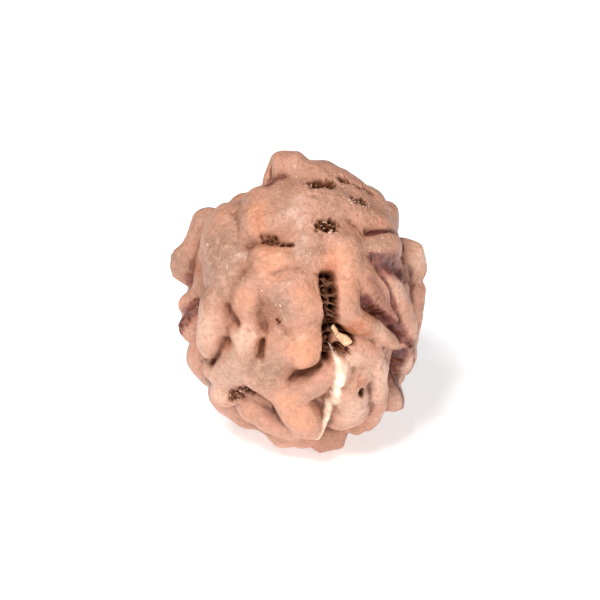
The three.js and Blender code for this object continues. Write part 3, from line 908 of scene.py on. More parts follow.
class WoodShade:
    """The stone's material: a chain of colours, each laid over the last where its own attribute says."""

    def __init__(self, finish: WoodFinish) -> None:
        """Keeps the finish."""
        self.finish = finish

    def build(self) -> bpy.types.Material:
        """Makes the material.

        Returns:
            The material, which reads the stone's attributes and Object coordinates.
        """
        shade = Shade("woody_stone")
        finish = self.finish
        colour = shade.blend(shade.blotches(finish.rosy), finish.tan, finish.rose)
        # Painted highlight: pale peach on the lit crowns and lower parts.
        colour = shade.blend(self.ragged(shade, Layer.PAINTED_HIGHLIGHT, finish.mottle, most=0.75), colour, finish.pale)
        colour = shade.blend(self.ragged(shade, Layer.WARM, finish.mottle, most=0.85), colour, finish.warm)
        dusty = shade.blend(shade.blotches(finish.bloomy), finish.dust, finish.bloom)
        colour = shade.blend(self.ragged(shade, Layer.DUST, finish.fine, most=0.9), colour, dusty)
        colour = shade.blend(shade.blotches(finish.brownish), colour, finish.brown)
        colour = shade.blend(shade.blotches(finish.paler), colour, finish.pale)
        colour = shade.blend(self.veins(shade), colour, finish.brown)
        # Painted shade: the colour goes browner down in the broad valleys.
        colour = shade.blend(shade.layer(Layer.VALLEY_SHADE, most=0.8), colour, finish.valley)
        # Painted shade: reddish brown in the narrow hollows and under the overhangs.
        colour = shade.blend(self.ragged(shade, Layer.REDDISH_SHADE, finish.fine, most=0.7), colour, finish.rust)
        # Painted shade: dark brown down in the creases.
        colour = shade.blend(self.ragged(shade, Layer.CREASE_SHADE, finish.fine, most=0.95), colour, finish.crease)
        # Stains, and painted shade under the crown knob and left of the nose.
        colour = shade.blend(self.ragged(shade, Layer.STAIN_AND_SHADE, finish.fine, most=0.95), colour, finish.stain)
        full_stain = shade.layer(Layer.STAIN_AND_SHADE, low=0.55)
        stain_core = shade.join(Joining.TIMES, full_stain, shade.blotches(finish.darkest))
        colour = shade.blend(stain_core, colour, finish.stain_core)
        # Pale specks of grit round the pits and stains, partly painted glints.
        specks = shade.step(shade.cells(finish.speck_pitch), low=0.16, high=0.10)
        gritty = shade.join(Joining.TIMES, specks, shade.layer(Layer.GRIT_AND_GLINT, low=0.1, high=0.7, most=0.75))
        colour = shade.blend(gritty, colour, finish.speck)
        colour = shade.blend(shade.layer(Layer.TORN), colour, finish.torn)
        # Painted shade: near black deep in the cleft and the pits.
        colour = shade.blend(shade.layer(Layer.DEEP_SHADE), colour, finish.deep)
        colour = shade.blend(shade.layer(Layer.SEAM, high=0.6, most=0.85), colour, finish.halo)
        cream = shade.join(Joining.TIMES, shade.layer(Layer.SEAM), shade.blotches(finish.creamy))
        colour = shade.blend(shade.step(cream, low=0.45, high=0.9), colour, finish.seam)
        shade.link(colour, shade.shader.inputs["Base Color"])
        self.gloss(shade)
        self.relief(shade)
        return shade.material

    def ragged(self, shade: Shade, layer: Layer, noise: Noise, most: float) -> Socket:
        """A layer that is broken up: it times the noise, plus a part of itself, and the sum stepped.

        Args:
            shade: the material under construction.
            layer: which layer it is.
            noise: what breaks it up.
            most: the share where the layer is full.

        Returns:
            A share from 0 to most.
        """
        amount = shade.attribute(layer)
        broken = shade.join(Joining.TIMES, amount, shade.step(shade.noise(noise), low=0.2, high=0.6))
        both = shade.join(Joining.PLUS, broken, shade.join(Joining.TIMES, amount, 0.45))
        return shade.step(both, low=0.1, high=0.95, most=most)

    def veins(self, shade: Shade) -> Socket:
        """Thin wandering lines on the dusty ground, where a noise is near its middle.

        Args:
            shade: the material under construction.

        Returns:
            The lines' share.
        """
        left = shade.blotches(self.finish.vein_left)
        veins = shade.join(Joining.TIMES, left, shade.blotches(self.finish.vein_right))
        return shade.join(Joining.TIMES, veins, shade.layer(Layer.DUST, low=0.1, high=0.8, most=0.65))

    def gloss(self, shade: Shade) -> None:
        """Sets the waxy sheen, duller where the stone is dusty or torn, and the light that enters the wood.

        Args:
            shade: the material under construction.
        """
        finish = self.finish
        inputs = shade.shader.inputs
        dull = shade.join(Joining.PLUS, shade.layer(Layer.DUST), shade.layer(Layer.TORN))
        uneven = shade.join(Joining.TIMES, shade.noise(finish.fine), 0.35)
        rough = shade.join(Joining.PLUS, uneven, dull)
        roughness = shade.between(rough, 0.0, 1.0, finish.roughness, finish.dusty_roughness)
        shade.link(roughness, inputs["Roughness"])
        inputs["Subsurface Weight"].default_value = finish.scatter
        inputs["Subsurface Radius"].default_value = finish.scatter_by_colour
        inputs["Subsurface Scale"].default_value = finish.scatter_depth * MM
        inputs["Coat Roughness"].default_value = finish.coat_roughness
        specular = shade.layer(Layer.TORN, low=1.0, high=0.0, most=finish.specular)
        shade.link(specular, inputs["Specular IOR Level"])
        coat = shade.layer(Layer.TORN, low=1.0, high=0.0, most=finish.sheen_coat)
        shade.link(coat, inputs["Coat Weight"])

    def relief(self, shade: Shade) -> None:
        """Adds relief finer than the mesh: dimples, scuffs and pores.

        Args:
            shade: the material under construction.
        """
        finish = self.finish
        dimples = shade.bump(shade.noise(finish.dimples), finish.dimple_depth)
        scuffs = shade.bump(shade.noise(finish.scuffs), finish.scuff_depth, dimples)
        pits = shade.step(shade.cells(finish.pore_pitch), low=0.0, high=0.5)
        pores = shade.bump(pits, finish.pore_depth, scuffs)
        shade.link(pores, shade.shader.inputs["Normal"])


def small_piece_material(finish: PieceFinish) -> bpy.types.Material:
    """The material of a small woody piece: two colours by noise, and fine relief.

    Args:
        finish: its colours and gloss.

    Returns:
        The material.
    """
    shade = Shade(finish.name)
    noise = shade.noise(Noise(finish.grain_size))
    colour = shade.blend(shade.step(noise, low=0.3, high=0.7), finish.dark, finish.light)
    shade.link(colour, shade.shader.inputs["Base Color"])
    shade.shader.inputs["Roughness"].default_value = finish.roughness
    shade.link(shade.bump(noise, finish.relief), shade.shader.inputs["Normal"])
    return shade.material


def mesh_object(name: str, shape: Mesh, material: bpy.types.Material) -> bpy.types.Object:
    """A piece made of points and equal-sided faces, at the origin, with smooth shading.

    Args:
        name: the piece's name.
        shape: places in millimetres in the frame, and the point numbers of each face.
        material: what it is dressed in.

    Returns:
        The object, linked to the scene.
    """
    points, faces = shape
    mesh = bpy.data.meshes.new(name)
    sides = faces.shape[1]
    mesh.vertices.add(len(points))
    mesh.vertices.foreach_set("co", (points * MM).astype(np.float32).ravel())
    mesh.loops.add(faces.size)
    mesh.loops.foreach_set("vertex_index", faces.astype(np.int32).ravel())
    mesh.polygons.add(len(faces))
    mesh.polygons.foreach_set("loop_start", np.arange(0, faces.size, sides, dtype=np.int32))
    mesh.update(calc_edges=True)
    mesh.validate()
    mesh.shade_smooth()
    mesh.materials.append(material)
    piece = bpy.data.objects.new(name, mesh)
    bpy.context.scene.collection.objects.link(piece)
    return piece


@dataclass
class Relief:
    """What the stone's surface is along a set of rays: its radius, and how much of each thing is there."""

    radius: np.ndarray
    rim: np.ndarray
    torn: np.ndarray
    # Painted shade: near black deep in the cleft and the pits.
    deep: np.ndarray
    pitted: np.ndarray
    # Stains, and painted shade in two creases.
    stained: np.ndarray
    seam: np.ndarray


@dataclass(frozen=True)
class WoodTexture:
    """The stone's relief finer than its folds. Depths, heights and sizes are in millimetres."""

    rolling: tuple[Uneven, ...] = (Uneven(0.16, 6.5, 3), Uneven(0.07, 2.2, 5))
    rough: tuple[Uneven, ...] = (Uneven(0.040, 1.1, 81), Uneven(0.032, 0.6, 82), Uneven(0.016, 0.3, 83))
    line_field: Uneven = Uneven(1.0, 1.7, 84)
    line_cut: Ramp = Ramp(0.07, 0.0, 0.05)
    crease_edge: Uneven = Uneven(0.25, 0.35, 5)
    groove_power: float = 1.5
    cleft_edge: Uneven = Uneven(0.16, 0.35, 5)
    cleft_wall: float = 0.3
    cleft_drift: float = 0.5
    cleft_sponge: Sponge = Sponge(0.8, 21, 0.06, 0.32, 0.38)
    pit_edge: Uneven = Uneven(0.45, 0.3, 7)
    pit_wall: float = 0.9
    pit_sponge: Sponge = Sponge(0.42, 51, 0.05, 0.3, 0.3)
    eaten_sponge: Sponge = Sponge(0.5, 71, 0.1, 0.45)
    eaten_field: Uneven = Uneven(1.0, 0.9, 85)
    eaten_where: Ramp = Ramp(-0.3, 0.3)
    eaten_depth: float = 0.22
    seam_shake: Uneven = Uneven(0.12, 0.4, 61)
    seam_height: float = 0.16
    torn_cleft: Ramp = Ramp(0.25, 0.8)
    torn_pit: Ramp = Ramp(0.08, 0.3)
    torn_eaten: Ramp = Ramp(0.2, 0.8)
    # Painted shade: how the cleft and the pits go near black with depth.
    cleft_shade: Ramp = Ramp(1.0, 2.3)
    pit_shade: Ramp = Ramp(0.3, 0.7, 0.8)


@dataclass(frozen=True)
class BackFolds:
    """The folds of the sides and the back: how many places are tried, where they start, and their sizes.

    A pair is the least and what a draw adds to it, in millimetres. A turn is in radians about upright.
    """

    places: int = 64
    edge: float = -0.22
    clearance: float = 4.5
    full_height_at: float = 11.0
    turn: float = 2.2
    length: tuple[float, float] = (1.2, 2.2)
    bend: float = 1.6
    half_width: tuple[float, float] = (1.75, 0.6)
    height: tuple[float, float] = (1.3, 0.5)


@dataclass(frozen=True)
class WeatheringAndPaintedLight:
    """Where the stone's colours lie: in patches on the drawing, elsewhere by hollows, crowns and noise;
    painted shade and highlight among them.
    """

    drawn: Ramp = Ramp(-0.35, 0.0)
    middling: Uneven = Uneven(1.0, 2.6, 91)
    broad: Uneven = Uneven(1.0, 5.0, 92)
    grit: Uneven = Uneven(1.0, 1.3, 93)
    near_rounds: int = 70
    broad_rounds: int = 300
    pit_rounds: int = 40
    hollow_depth: float = 0.35
    crown_height: float = 0.3
    pit_depth: float = 0.5
    pit_gain: float = 1.6
    stain_where: Ramp = Ramp(-0.1, 0.35)
    dust_where: Ramp = Ramp(0.0, 0.7, 0.8)
    warm_where: Ramp = Ramp(-0.2, 0.5, 0.8)
    # Painted highlight on the crowns of the folds off the drawing.
    highlight_where: Ramp = Ramp(-0.1, 0.5, 0.8)
    grit_where: Ramp = Ramp(-0.5, 0.6)
    dust_grit: float = 0.4
    stain_grit: float = 0.2
    # Painted shade: how the valleys and the creases darken with depth.
    valley: Ramp = Ramp(-0.06, 0.32)
    crease: Ramp = Ramp(0.15, 0.85, 0.95)
    streak: Ramp = Ramp(1.6, 0.3)
    patch_fall: float = 1.6


@dataclass
class Stone:
    """The woody stone: a radius for each ray from its middle, on a ball of squares gathered on the face.

    Sizes are in millimetres. The reach of a line and what counts as far are in its half widths. Where the
    sides of the ball meet, points are one if they agree when rounded to so many steps to 1.
    """

    face: Face = Face()
    body: tuple[float, float, float] = (9.2, 9.05, 11.85)
    rest_depth: float = 12.75
    join: float = 0.26
    bend: Uneven = Uneven(0.22, 5.0, 11)
    wobble: Uneven = Uneven(0.09, 1.9, 31)
    sole_half_width: float = 5.0
    sole_height: float = 1.6
    sole_place: tuple[float, float] = (-0.3, 0.9)
    slope_half_width: float = 5.0
    slope_depth: float = 3.4
    slope_place: tuple[float, float, float] = (-4.2, 2.5, 9.8)
    back: BackFolds = BackFolds()
    texture: WoodTexture = WoodTexture()
    weathering_and_painted_light: WeatheringAndPaintedLight = WeatheringAndPaintedLight()
    reach: float = 2.0
    far: float = 9.0
    cells: int = 126
    face_share: float = 0.3
    merge_steps: float = 1e6
    crown_share: float = 0.94
    shift: np.ndarray = field(default_factory=lambda: np.zeros(3))
    points: np.ndarray = field(default_factory=lambda: np.zeros((0, 3)))
    normals: np.ndarray = field(default_factory=lambda: np.zeros((0, 3)))
    shares: dict[Layer, np.ndarray] = field(default_factory=dict)

    def back_folds(self) -> list[tuple[float, float, np.ndarray]]:
        """The folds of the sides and the back: short bent strokes, spread evenly round the stone.

        Each has draws of its own: k for its turn, and k + 100 to k + 400 for its other sizes.

        Returns:
            Half width, height and traced line of each.
        """
        folds = []
        back = self.back
        slope = self.face.onto_mean(np.array(self.slope_place))
        for k in range(back.places):
            ray = even_direction(k, back.places)
            middle = self.face.onto_mean(ray)
            gap = np.linalg.norm(middle - slope)
            if ray @ self.face.out > back.edge or gap < back.clearance:
                continue
            growth = smooth(gap, back.clearance, back.full_height_at)
            east = np.cross([0.0, 0.0, 1.0], ray)
            east /= np.linalg.norm(east)
            north = np.cross(ray, east)
            angle = math.pi / 2 + (draw(k) - 0.5) * back.turn
            along = math.cos(angle) * east + math.sin(angle) * north
            side = np.cross(ray, along)
            length = back.length[0] + back.length[1] * draw(k + 100)
            bend = (draw(k + 200) - 0.5) * back.bend
            ends = np.array([-1.0, 0.0, 1.0])[:, None]
            line = middle + along * ends * length / 2 + side * bend * (0.5 - np.abs(ends))
            half_width = back.half_width[0] + back.half_width[1] * draw(k + 300)
            height = (back.height[0] + back.height[1] * draw(k + 400)) * growth
            folds.append((half_width, height, self.face.onto_mean(line)))
        return folds

    def across(self, points: np.ndarray, line: np.ndarray, half_width: float) -> np.ndarray:
        """Distance from a line over its half width, worked out only where it is within reach.

        Args:
            points: places on the mean surface, one a row.
            line: the traced line.
            half_width: what the distance is divided by.

        Returns:
            One ratio for each place, and a large one where the place is far.
        """
        middle = line.mean(axis=0)
        span = np.linalg.norm(line - middle, axis=1).max() + self.reach * half_width
        near = np.flatnonzero(np.sum((points - middle) ** 2, axis=1) < span * span)
        ratio = np.full(len(points), self.far)
        ratio[near] = nearest_on(points[near], line)[0] / half_width
        return ratio

    def swelling(self, points: np.ndarray) -> np.ndarray:
        """Height of the folds: parabolas across their lines, joined as the log of the sum of exponentials.

        Args:
            points: places on the mean surface, one a row.

        Returns:
            One height for each.
        """
        face = self.face
        folds = [(fold.half_width, fold.height, face.trace(fold.line)) for fold in FOLDS]
        folds += self.back_folds()
        under = face.onto_mean(np.array([[*self.sole_place, -face.mean[2]]]))
        folds.append((self.sole_half_width, self.sole_height, under))
        total = np.ones(len(points))
        for half_width, height, line in folds:
            ratio = self.across(points, line, half_width)
            total += np.exp(height * np.clip(1 - ratio * ratio, 0, 1) / self.join) - 1
        return self.join * np.log(total)

    def deepest(
        self,
        points: np.ndarray,
        cuts: tuple[Feature, ...],
        wall: float | None,
        ragged: np.ndarray | float = 0.0,
    ) -> np.ndarray:
        """The deepest of a set of cuts at each place.

        Args:
            points: places on the mean surface, one a row.
            cuts: the cuts.
            wall: share of the half width that a steep wall slopes over, or None for a pointed groove.
            ragged: what is added to the ratio across, so that the edge wanders.

        Returns:
            One depth for each place.
        """
        depth = np.zeros(len(points))
        for cut in cuts:
            ratio = self.across(points, self.face.trace(cut.line), cut.half_width) + ragged
            if wall is None:
                shape = np.clip(1 - ratio, 0, 1) ** self.texture.groove_power
            else:
                shape = smooth(ratio, 1 + wall / 2, 1 - wall / 2)
            depth = np.maximum(depth, cut.height * shape)
        return depth

    def dip(self, points: np.ndarray) -> np.ndarray:
        """Depth of the slope left of the crown and of the dips: the square of a parabola across each.

        Args:
            points: places on the mean surface, one a row.

        Returns:
            One depth for each.
        """
        dips = [(dip.half_width, dip.height, self.face.trace(dip.line)) for dip in DIPS]
        slope = self.face.onto_mean(np.array([self.slope_place]))
        dips.append((self.slope_half_width, self.slope_depth, slope))
        depth = np.zeros(len(points))
        for half_width, height, line in dips:
            ratio = self.across(points, line, half_width)
            depth = np.maximum(depth, height * np.clip(1 - ratio * ratio, 0, 1) ** 2)
        return depth

    def ribbon(self, points: np.ndarray, streak: Ribbon) -> np.ndarray:
        """How much of a streak there is: most on its line, falling with the gap over its half width there.

        Args:
            points: places on the mean surface, one a row.
            streak: the streak.

        Returns:
            One amount for each place.
        """
        line = self.face.lift(np.array(streak.line) * self.crown_share)
        gap, where = nearest_on(points, line)
        widths = np.interp(where, np.arange(len(line)), streak.half_widths)
        return streak.strength * self.weathering_and_painted_light.streak.of(gap / widths)

    def patches(self, points: np.ndarray, patches: tuple[Patch, ...]) -> np.ndarray:
        """How much of a set of soft patches there is: the largest of their bells.

        Args:
            points: places on the mean surface, one a row.
            patches: the patches.

        Returns:
            One amount for each place.
        """
        amount = np.zeros(len(points))
        for patch in patches:
            middle = self.face.lift(np.array([patch.place]) * self.crown_share)[0]
            gap = np.linalg.norm(points - middle, axis=1) / patch.radius
            amount = np.maximum(amount, patch.strength * np.exp(-self.weathering_and_painted_light.patch_fall * gap**2))
        return amount

    def relief(self, rays: np.ndarray) -> Relief:
        """The stone's surface along rays.

        Formula: body plus folds and rolling, less dips and the deepest cut, plus roughness and the seam, less
        what is eaten. Cleft and pits are deep only in a sponge's cells, so that thin walls stand in them.

        Args:
            rays: unit directions, one a row.

        Returns:
            The radius and the amounts, in millimetres or shares.
        """
        texture = self.texture
        on_mean = self.face.onto_mean(rays)
        drift = self.bend.drift(on_mean) + self.wobble.drift(on_mean)
        place = on_mean + drift
        body = 1 / np.linalg.norm(rays / np.array(self.body), axis=1)
        rolling = sum(layer.rolls(on_mean) for layer in texture.rolling)
        rim = body + self.swelling(place) - self.dip(place) + rolling

        fine_creases = self.deepest(place, FINE_CREASES, None, texture.crease_edge.lumps(on_mean))
        creased = np.maximum(self.deepest(place, CREASES, None), fine_creases)
        beside = on_mean + texture.cleft_drift * drift
        cleft = self.deepest(beside, CLEFT, texture.cleft_wall, texture.cleft_edge.lumps(on_mean))
        cleft = cleft * texture.cleft_sponge.depth(on_mean)
        pitted = self.deepest(on_mean, PITS, texture.pit_wall, texture.pit_edge.lumps(on_mean))
        pits = pitted * texture.pit_sponge.depth(on_mean)

        seam = self.ribbon(on_mean + texture.seam_shake.shake(on_mean), SEAM)
        stained = np.max([self.ribbon(on_mean, streak) for streak in STAINS_AND_SHADE], axis=0)
        eaten_where = texture.eaten_where.of(texture.eaten_field.lumps(on_mean))
        eaten = stained * texture.eaten_sponge.depth(on_mean) * eaten_where
        lines = texture.line_cut.of(np.abs(texture.line_field.lumps(on_mean)))
        rough = sum(layer.lumps(on_mean) for layer in texture.rough) - lines
        cut = np.maximum(np.maximum(creased, cleft), pits)
        radius = rim - cut + rough + texture.seam_height * seam - texture.eaten_depth * eaten

        torn_hollows = np.maximum(texture.torn_cleft.of(cleft), texture.torn_pit.of(pits))
        torn = np.maximum(torn_hollows, texture.torn_eaten.of(eaten))
        # Painted shade: near black with depth in the cleft and the pits.
        deep = np.maximum(texture.cleft_shade.of(cleft), texture.pit_shade.of(pits))
        return Relief(radius, rim, torn, deep, pitted, stained, seam)

    def ball(self) -> Mesh:
        """A ball of squares: a cube's sides with equal angles between their lines, gathered on the face.

        Returns:
            Unit directions, one a row, and four point numbers for each square.
        """
        n = self.cells
        lines = np.tan(np.linspace(-1, 1, n + 1) * math.pi / 4)
        s, t = np.meshgrid(lines, lines, indexing="ij")
        one = np.ones_like(s)
        sides = [(one, s, t), (-one, t, s), (t, one, s), (s, -one, t), (s, t, one), (t, s, -one)]
        rays = np.concatenate([np.stack(side, axis=-1).reshape(-1, 3) for side in sides])
        rays /= np.linalg.norm(rays, axis=1)[:, None]
        i, j = np.meshgrid(np.arange(n), np.arange(n), indexing="ij")
        first = (i * (n + 1) + j).ravel()
        square = np.stack([first, first + n + 1, first + n + 2, first + 1], axis=1)
        squares = np.concatenate([square + side * (n + 1) ** 2 for side in range(6)])
        keys = np.round(rays * self.merge_steps).astype(np.int64)
        _, kept, number = np.unique(keys, axis=0, return_index=True, return_inverse=True)
        rays = rays[kept] + self.face_share * self.face.out
        return rays / np.linalg.norm(rays, axis=1)[:, None], number.reshape(-1)[squares]

    def settle(self, points: np.ndarray) -> np.ndarray:
        """Cuts the underside off level, and moves the stone so that it stands on the origin.

        Args:
            points: places round the stone's own middle.

        Returns:
            Places in the frame. The shift that was made is kept for the other pieces and the camera.
        """
        low = points[:, 2] < -self.rest_depth
        flat = points.copy()
        flat[low] *= (-self.rest_depth / points[low, 2])[:, None]
        middle = (flat.min(axis=0) + flat.max(axis=0)) / 2
        self.shift = np.array([-middle[0], -middle[1], self.rest_depth])
        return flat + self.shift

    def spread(self, values: np.ndarray, squares: np.ndarray, rounds: int) -> np.ndarray:
        """Values smoothed over the surface: each moves halfway to the mean of its neighbours, many times.

        Args:
            values: one for each point.
            squares: the mesh.
            rounds: how many times.

        Returns:
            The smoothed values.
        """
        starts = squares.ravel()
        ends = np.roll(squares, -1, axis=1).ravel()
        size = len(values)
        count = np.bincount(starts, minlength=size) + np.bincount(ends, minlength=size)
        for _ in range(rounds):
            total = np.bincount(starts, values[ends], size) + np.bincount(ends, values[starts], size)
            values = 0.5 * values + 0.5 * total / count
        return values

    def colours(self, rays: np.ndarray, relief: Relief, squares: np.ndarray) -> dict[Layer, np.ndarray]:
        """How much of each colour there is at each point, painted shade and painted highlight among them.

        Args:
            rays: unit directions of the points.
            relief: their surface.
            squares: the mesh, over which heights are compared.

        Returns:
            One share for each point, by layer.
        """
        look = self.weathering_and_painted_light
        on_mean = self.face.onto_mean(rays)
        broad = look.broad.lumps(on_mean)
        near = self.spread(relief.radius, squares, look.near_rounds)
        height = relief.radius - near
        # How far a point lies below its broad surroundings, for the painted shade of the valleys.
        valley_depth = self.spread(near, squares, look.broad_rounds) - near
        # How far it lies below its near surroundings, for the painted shade of the creases.
        hollow = np.clip(-height / look.hollow_depth, 0, 1)
        wild = 1 - look.drawn.of(rays @ self.face.out)
        wild_crown = wild * np.clip(height / look.crown_height, 0, 1)
        wild_dust = wild * look.dust_where.of(look.middling.lumps(on_mean))
        stain = np.maximum(relief.stained, wild * hollow * look.stain_where.of(broad))
        dust = np.maximum(self.patches(on_mean, DUST_PATCHES), wild_dust)
        warm = np.maximum(self.patches(on_mean, WARM_PATCHES), wild_crown * look.warm_where.of(-broad))
        # Painted highlight: its patches, and the crowns of the folds off the drawing.
        pale = np.maximum(self.patches(on_mean, PAINTED_HIGHLIGHT_PATCHES), wild_crown * look.highlight_where.of(broad))
        pits = self.spread(np.clip(relief.pitted / look.pit_depth, 0, 1), squares, look.pit_rounds)
        grit = np.clip(pits * look.pit_gain, 0, 1) + look.dust_grit * dust + look.stain_grit * stain
        return {
            Layer.STAIN_AND_SHADE: stain,
            Layer.DUST: dust,
            Layer.WARM: warm,
            Layer.PAINTED_HIGHLIGHT: pale,
            Layer.REDDISH_SHADE: self.patches(on_mean, REDDISH_SHADE_PATCHES),
            Layer.VALLEY_SHADE: look.valley.of(valley_depth),
            Layer.CREASE_SHADE: look.crease.of(hollow),
            Layer.TORN: relief.torn,
            Layer.DEEP_SHADE: relief.deep,
            Layer.SEAM: relief.seam,
            Layer.GRIT_AND_GLINT: np.clip(grit * look.grit_where.of(look.grit.lumps(on_mean)), 0, 1),
        }

    def build(self) -> bpy.types.Object:
        """Makes and dresses the stone.

        Returns:
            The stone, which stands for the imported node.
        """
        rays, squares = self.ball()
        relief = self.relief(rays)
        self.points = self.settle(rays * relief.radius[:, None])
        material = WoodShade(WoodFinish()).build()
        stone = mesh_object("woody_stone_fine", (self.points, squares), material)
        self.shares = self.colours(rays, relief, squares)
        for layer, share in self.shares.items():
            attribute = stone.data.attributes.new(layer.value, "FLOAT", "POINT")
            attribute.data.foreach_set("value", share.astype(np.float32))
        self.normals = np.empty(len(self.points) * 3, dtype=np.float32)
        stone.data.vertices.foreach_get("normal", self.normals)
        self.normals = self.normals.reshape(-1, 3).astype(float)
        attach(stone, BODY)
        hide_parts(CAD_NODE)
        return stone

    def surface(self, places: np.ndarray, under: np.ndarray | float = 0.0) -> np.ndarray:
        """Points a depth under the stone's rim, as if no cleft or pit were cut.

        Args:
            places: places drawn on the face, one pair a row.
            under: the depth, in millimetres.

        Returns:
            Points in the frame, one a row.
        """
        lifted = self.face.lift(places)
        rays = lifted / np.linalg.norm(lifted, axis=1)[:, None]
        return rays * (self.relief(rays).rim - under)[:, None] + self.shift


def tube(centres: np.ndarray, across: np.ndarray, thick: np.ndarray, sides: int) -> Mesh:
    """A closed tube along a line, with an ellipse for each section: centre + cos(a) across + sin(a) thick.

    Args:
        centres: the sections' middles, one a row.
        across: each section's half width as a vector; it is near nothing at both ends.
        thick: each section's other half width as a vector.
        sides: points round each section.

    Returns:
        Points, one a row, and four-sided faces that close the tube, ends included.
    """
    angle = np.arange(sides) * 2 * math.pi / sides
    points = (
        centres[:, None, :]
        + np.cos(angle)[None, :, None] * across[:, None, :]
        + np.sin(angle)[None, :, None] * thick[:, None, :]
    ).reshape(-1, 3)
    ring = np.arange(len(centres) - 1)[:, None] * sides
    side = np.arange(sides)[None, :]
    after = (side + 1) % sides
    following = ring + sides
    walls = np.stack([ring + side, ring + after, following + after, following + side], axis=-1).reshape(-1, 4)
    half = np.arange(sides // 2 - 1)
    last = (len(centres) - 1) * sides
    cap = np.stack([half + 1, half, sides - 1 - half, sides - 2 - half], axis=1)
    end_cap = last + cap[:, ::-1]
    return points, np.concatenate([walls, cap, end_cap])


def joined(parts: list[Mesh]) -> Mesh:
    """Several meshes as one: the face numbers of each are moved on by the points before it.

    Args:
        parts: points and faces of each.

    Returns:
        All points and all faces.
    """
    starts = np.cumsum([0] + [len(points) for points, _ in parts[:-1]])
    return (
        np.concatenate([points for points, _ in parts]),
        np.concatenate([faces + start for start, (_, faces) in zip(starts, parts)]),
    )


@dataclass
class CleftFibres:
    """Woody strands across the cleft. Each knot in its middle is tied to both walls and to the next knot."""

    stone: Stone
    knots: int = 15
    reach: float = 0.72
    shallow: float = 0.45
    deep: float = 1.5
    thin: float = 0.055
    thick: float = 0.11
    first_at: float = 0.2
    last_before_end: float = 0.1
    stray: float = 0.2
    slant: float = 0.45
    wall_depth: tuple[float, float] = (-0.35, 0.5)
    out_sag: tuple[float, float] = (-0.15, 0.1)
    side_sag: float = 0.2
    spread: float = 1.6
    rings: int = 9
    sides: int = 6
    seed: int = 12

    def strand(self, start: np.ndarray, end: np.ndarray, sag: np.ndarray, girth: float) -> Mesh:
        """One strand: thin in the middle, spread at both ends where it grows into the wall.

        Args:
            start: one end.
            end: the other end.
            sag: how far its middle bends, as a vector.
            girth: its radius in the middle.

        Returns:
            Points and faces.
        """
        share = np.linspace(0, 1, self.rings)[:, None]
        centres = start + (end - start) * share + sag * 4 * share * (1 - share)
        along = (end - start) / np.linalg.norm(end - start)
        side = np.cross(along, self.stone.face.out)
        side /= np.linalg.norm(side)
        radius = girth * (1 + self.spread * np.abs(2 * share - 1) ** 3)
        return tube(centres, side * radius, np.cross(along, side) * radius, self.sides)

    def build(self) -> bpy.types.Object:
        """Makes the strands.

        Returns:
            One piece of all of them.
        """
        draws = np.random.default_rng(self.seed)
        line = np.array(CLEFT[0].line)
        last_at = len(line) - 1 - self.last_before_end
        middles = along_line(line, np.linspace(self.first_at, last_at, self.knots))
        middles[:, 0] += draws.uniform(-self.stray, self.stray, self.knots)
        depths = draws.uniform(self.shallow, self.deep, self.knots)
        knots = self.stone.surface(middles, depths)
        parts = []
        for number in range(self.knots):
            for way in (-1, 1):
                wall = middles[number] + np.array([way * self.reach, draws.uniform(-self.slant, self.slant)])
                depth = depths[number] + draws.uniform(*self.wall_depth)
                end = self.stone.surface(wall[None, :], depth)[0]
                sag = self.stone.face.out * draws.uniform(*self.out_sag)
                parts.append(self.strand(knots[number], end, sag, draws.uniform(self.thin, self.thick)))
            if number + 1 < self.knots:
                sag = self.stone.face.right * draws.uniform(-self.side_sag, self.side_sag)
                girth = draws.uniform(self.thin, self.thick)
                parts.append(self.strand(knots[number], knots[number + 1], sag, girth))
        strands = mesh_object("cleft_fibres", joined(parts), small_piece_material(FIBRE_FINISH))
        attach(strands, BODY)
        return strands


@dataclass
class TornChip:
    """A pale flake of torn wood that leans out of the lower end of the cleft."""

    stone: Stone
    left_edge: Line = ((2.95, -2.45), (2.8, -2.75), (3.1, -3.1), (3.0, -3.35), (3.35, -3.6), (3.4, -3.95))
    right_edge: Line = ((3.1, -2.4), (3.35, -2.75), (3.45, -3.05), (4.0, -3.2), (4.3, -3.5), (3.9, -3.9))
    top_under: float = 0.45
    bottom_under: float = -0.12
    half_thickness: float = 0.17
    end_power: int = 6
    end_share: float = 0.002
    ridge_count: int = 7
    ridge_height: float = 0.035
    roughness: Uneven = Uneven(0.05, 0.35, 71)
    rings: int = 28
    sides: int = 20

    def build(self) -> bpy.types.Object:
        """Makes the flake: sections from its left edge to its right edge, with ridges along it.

        Returns:
            The flake.
        """
        share = np.linspace(0, 1, self.rings)
        under = np.interp(share, (0, 1), (self.top_under, self.bottom_under))
        left, right = (
            self.stone.surface(along_line(np.array(edge), share * (len(edge) - 1)), under)
            for edge in (self.left_edge, self.right_edge)
        )
        closing = np.sqrt(np.clip(1 - (2 * share - 1) ** self.end_power, self.end_share, 1))[:, None]
        across = (right - left) / 2 * closing
        thick = np.tile(self.stone.face.out, (self.rings, 1)) * self.half_thickness * closing
        points, faces = tube((left + right) / 2, across, thick, self.sides)
        lobes = np.arange(self.sides) * 2 * math.pi / self.sides
        waved = self.ridge_height * np.cos(lobes * self.ridge_count)
        ridges = waved[None, :, None] * closing[:, :, None] * self.stone.face.out
        points += ridges.reshape(-1, 3)
        points += self.roughness.shake(points)
        chip = mesh_object("torn_chip", (points, faces), small_piece_material(CHIP_FINISH))
        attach(chip, BODY)
        return chip


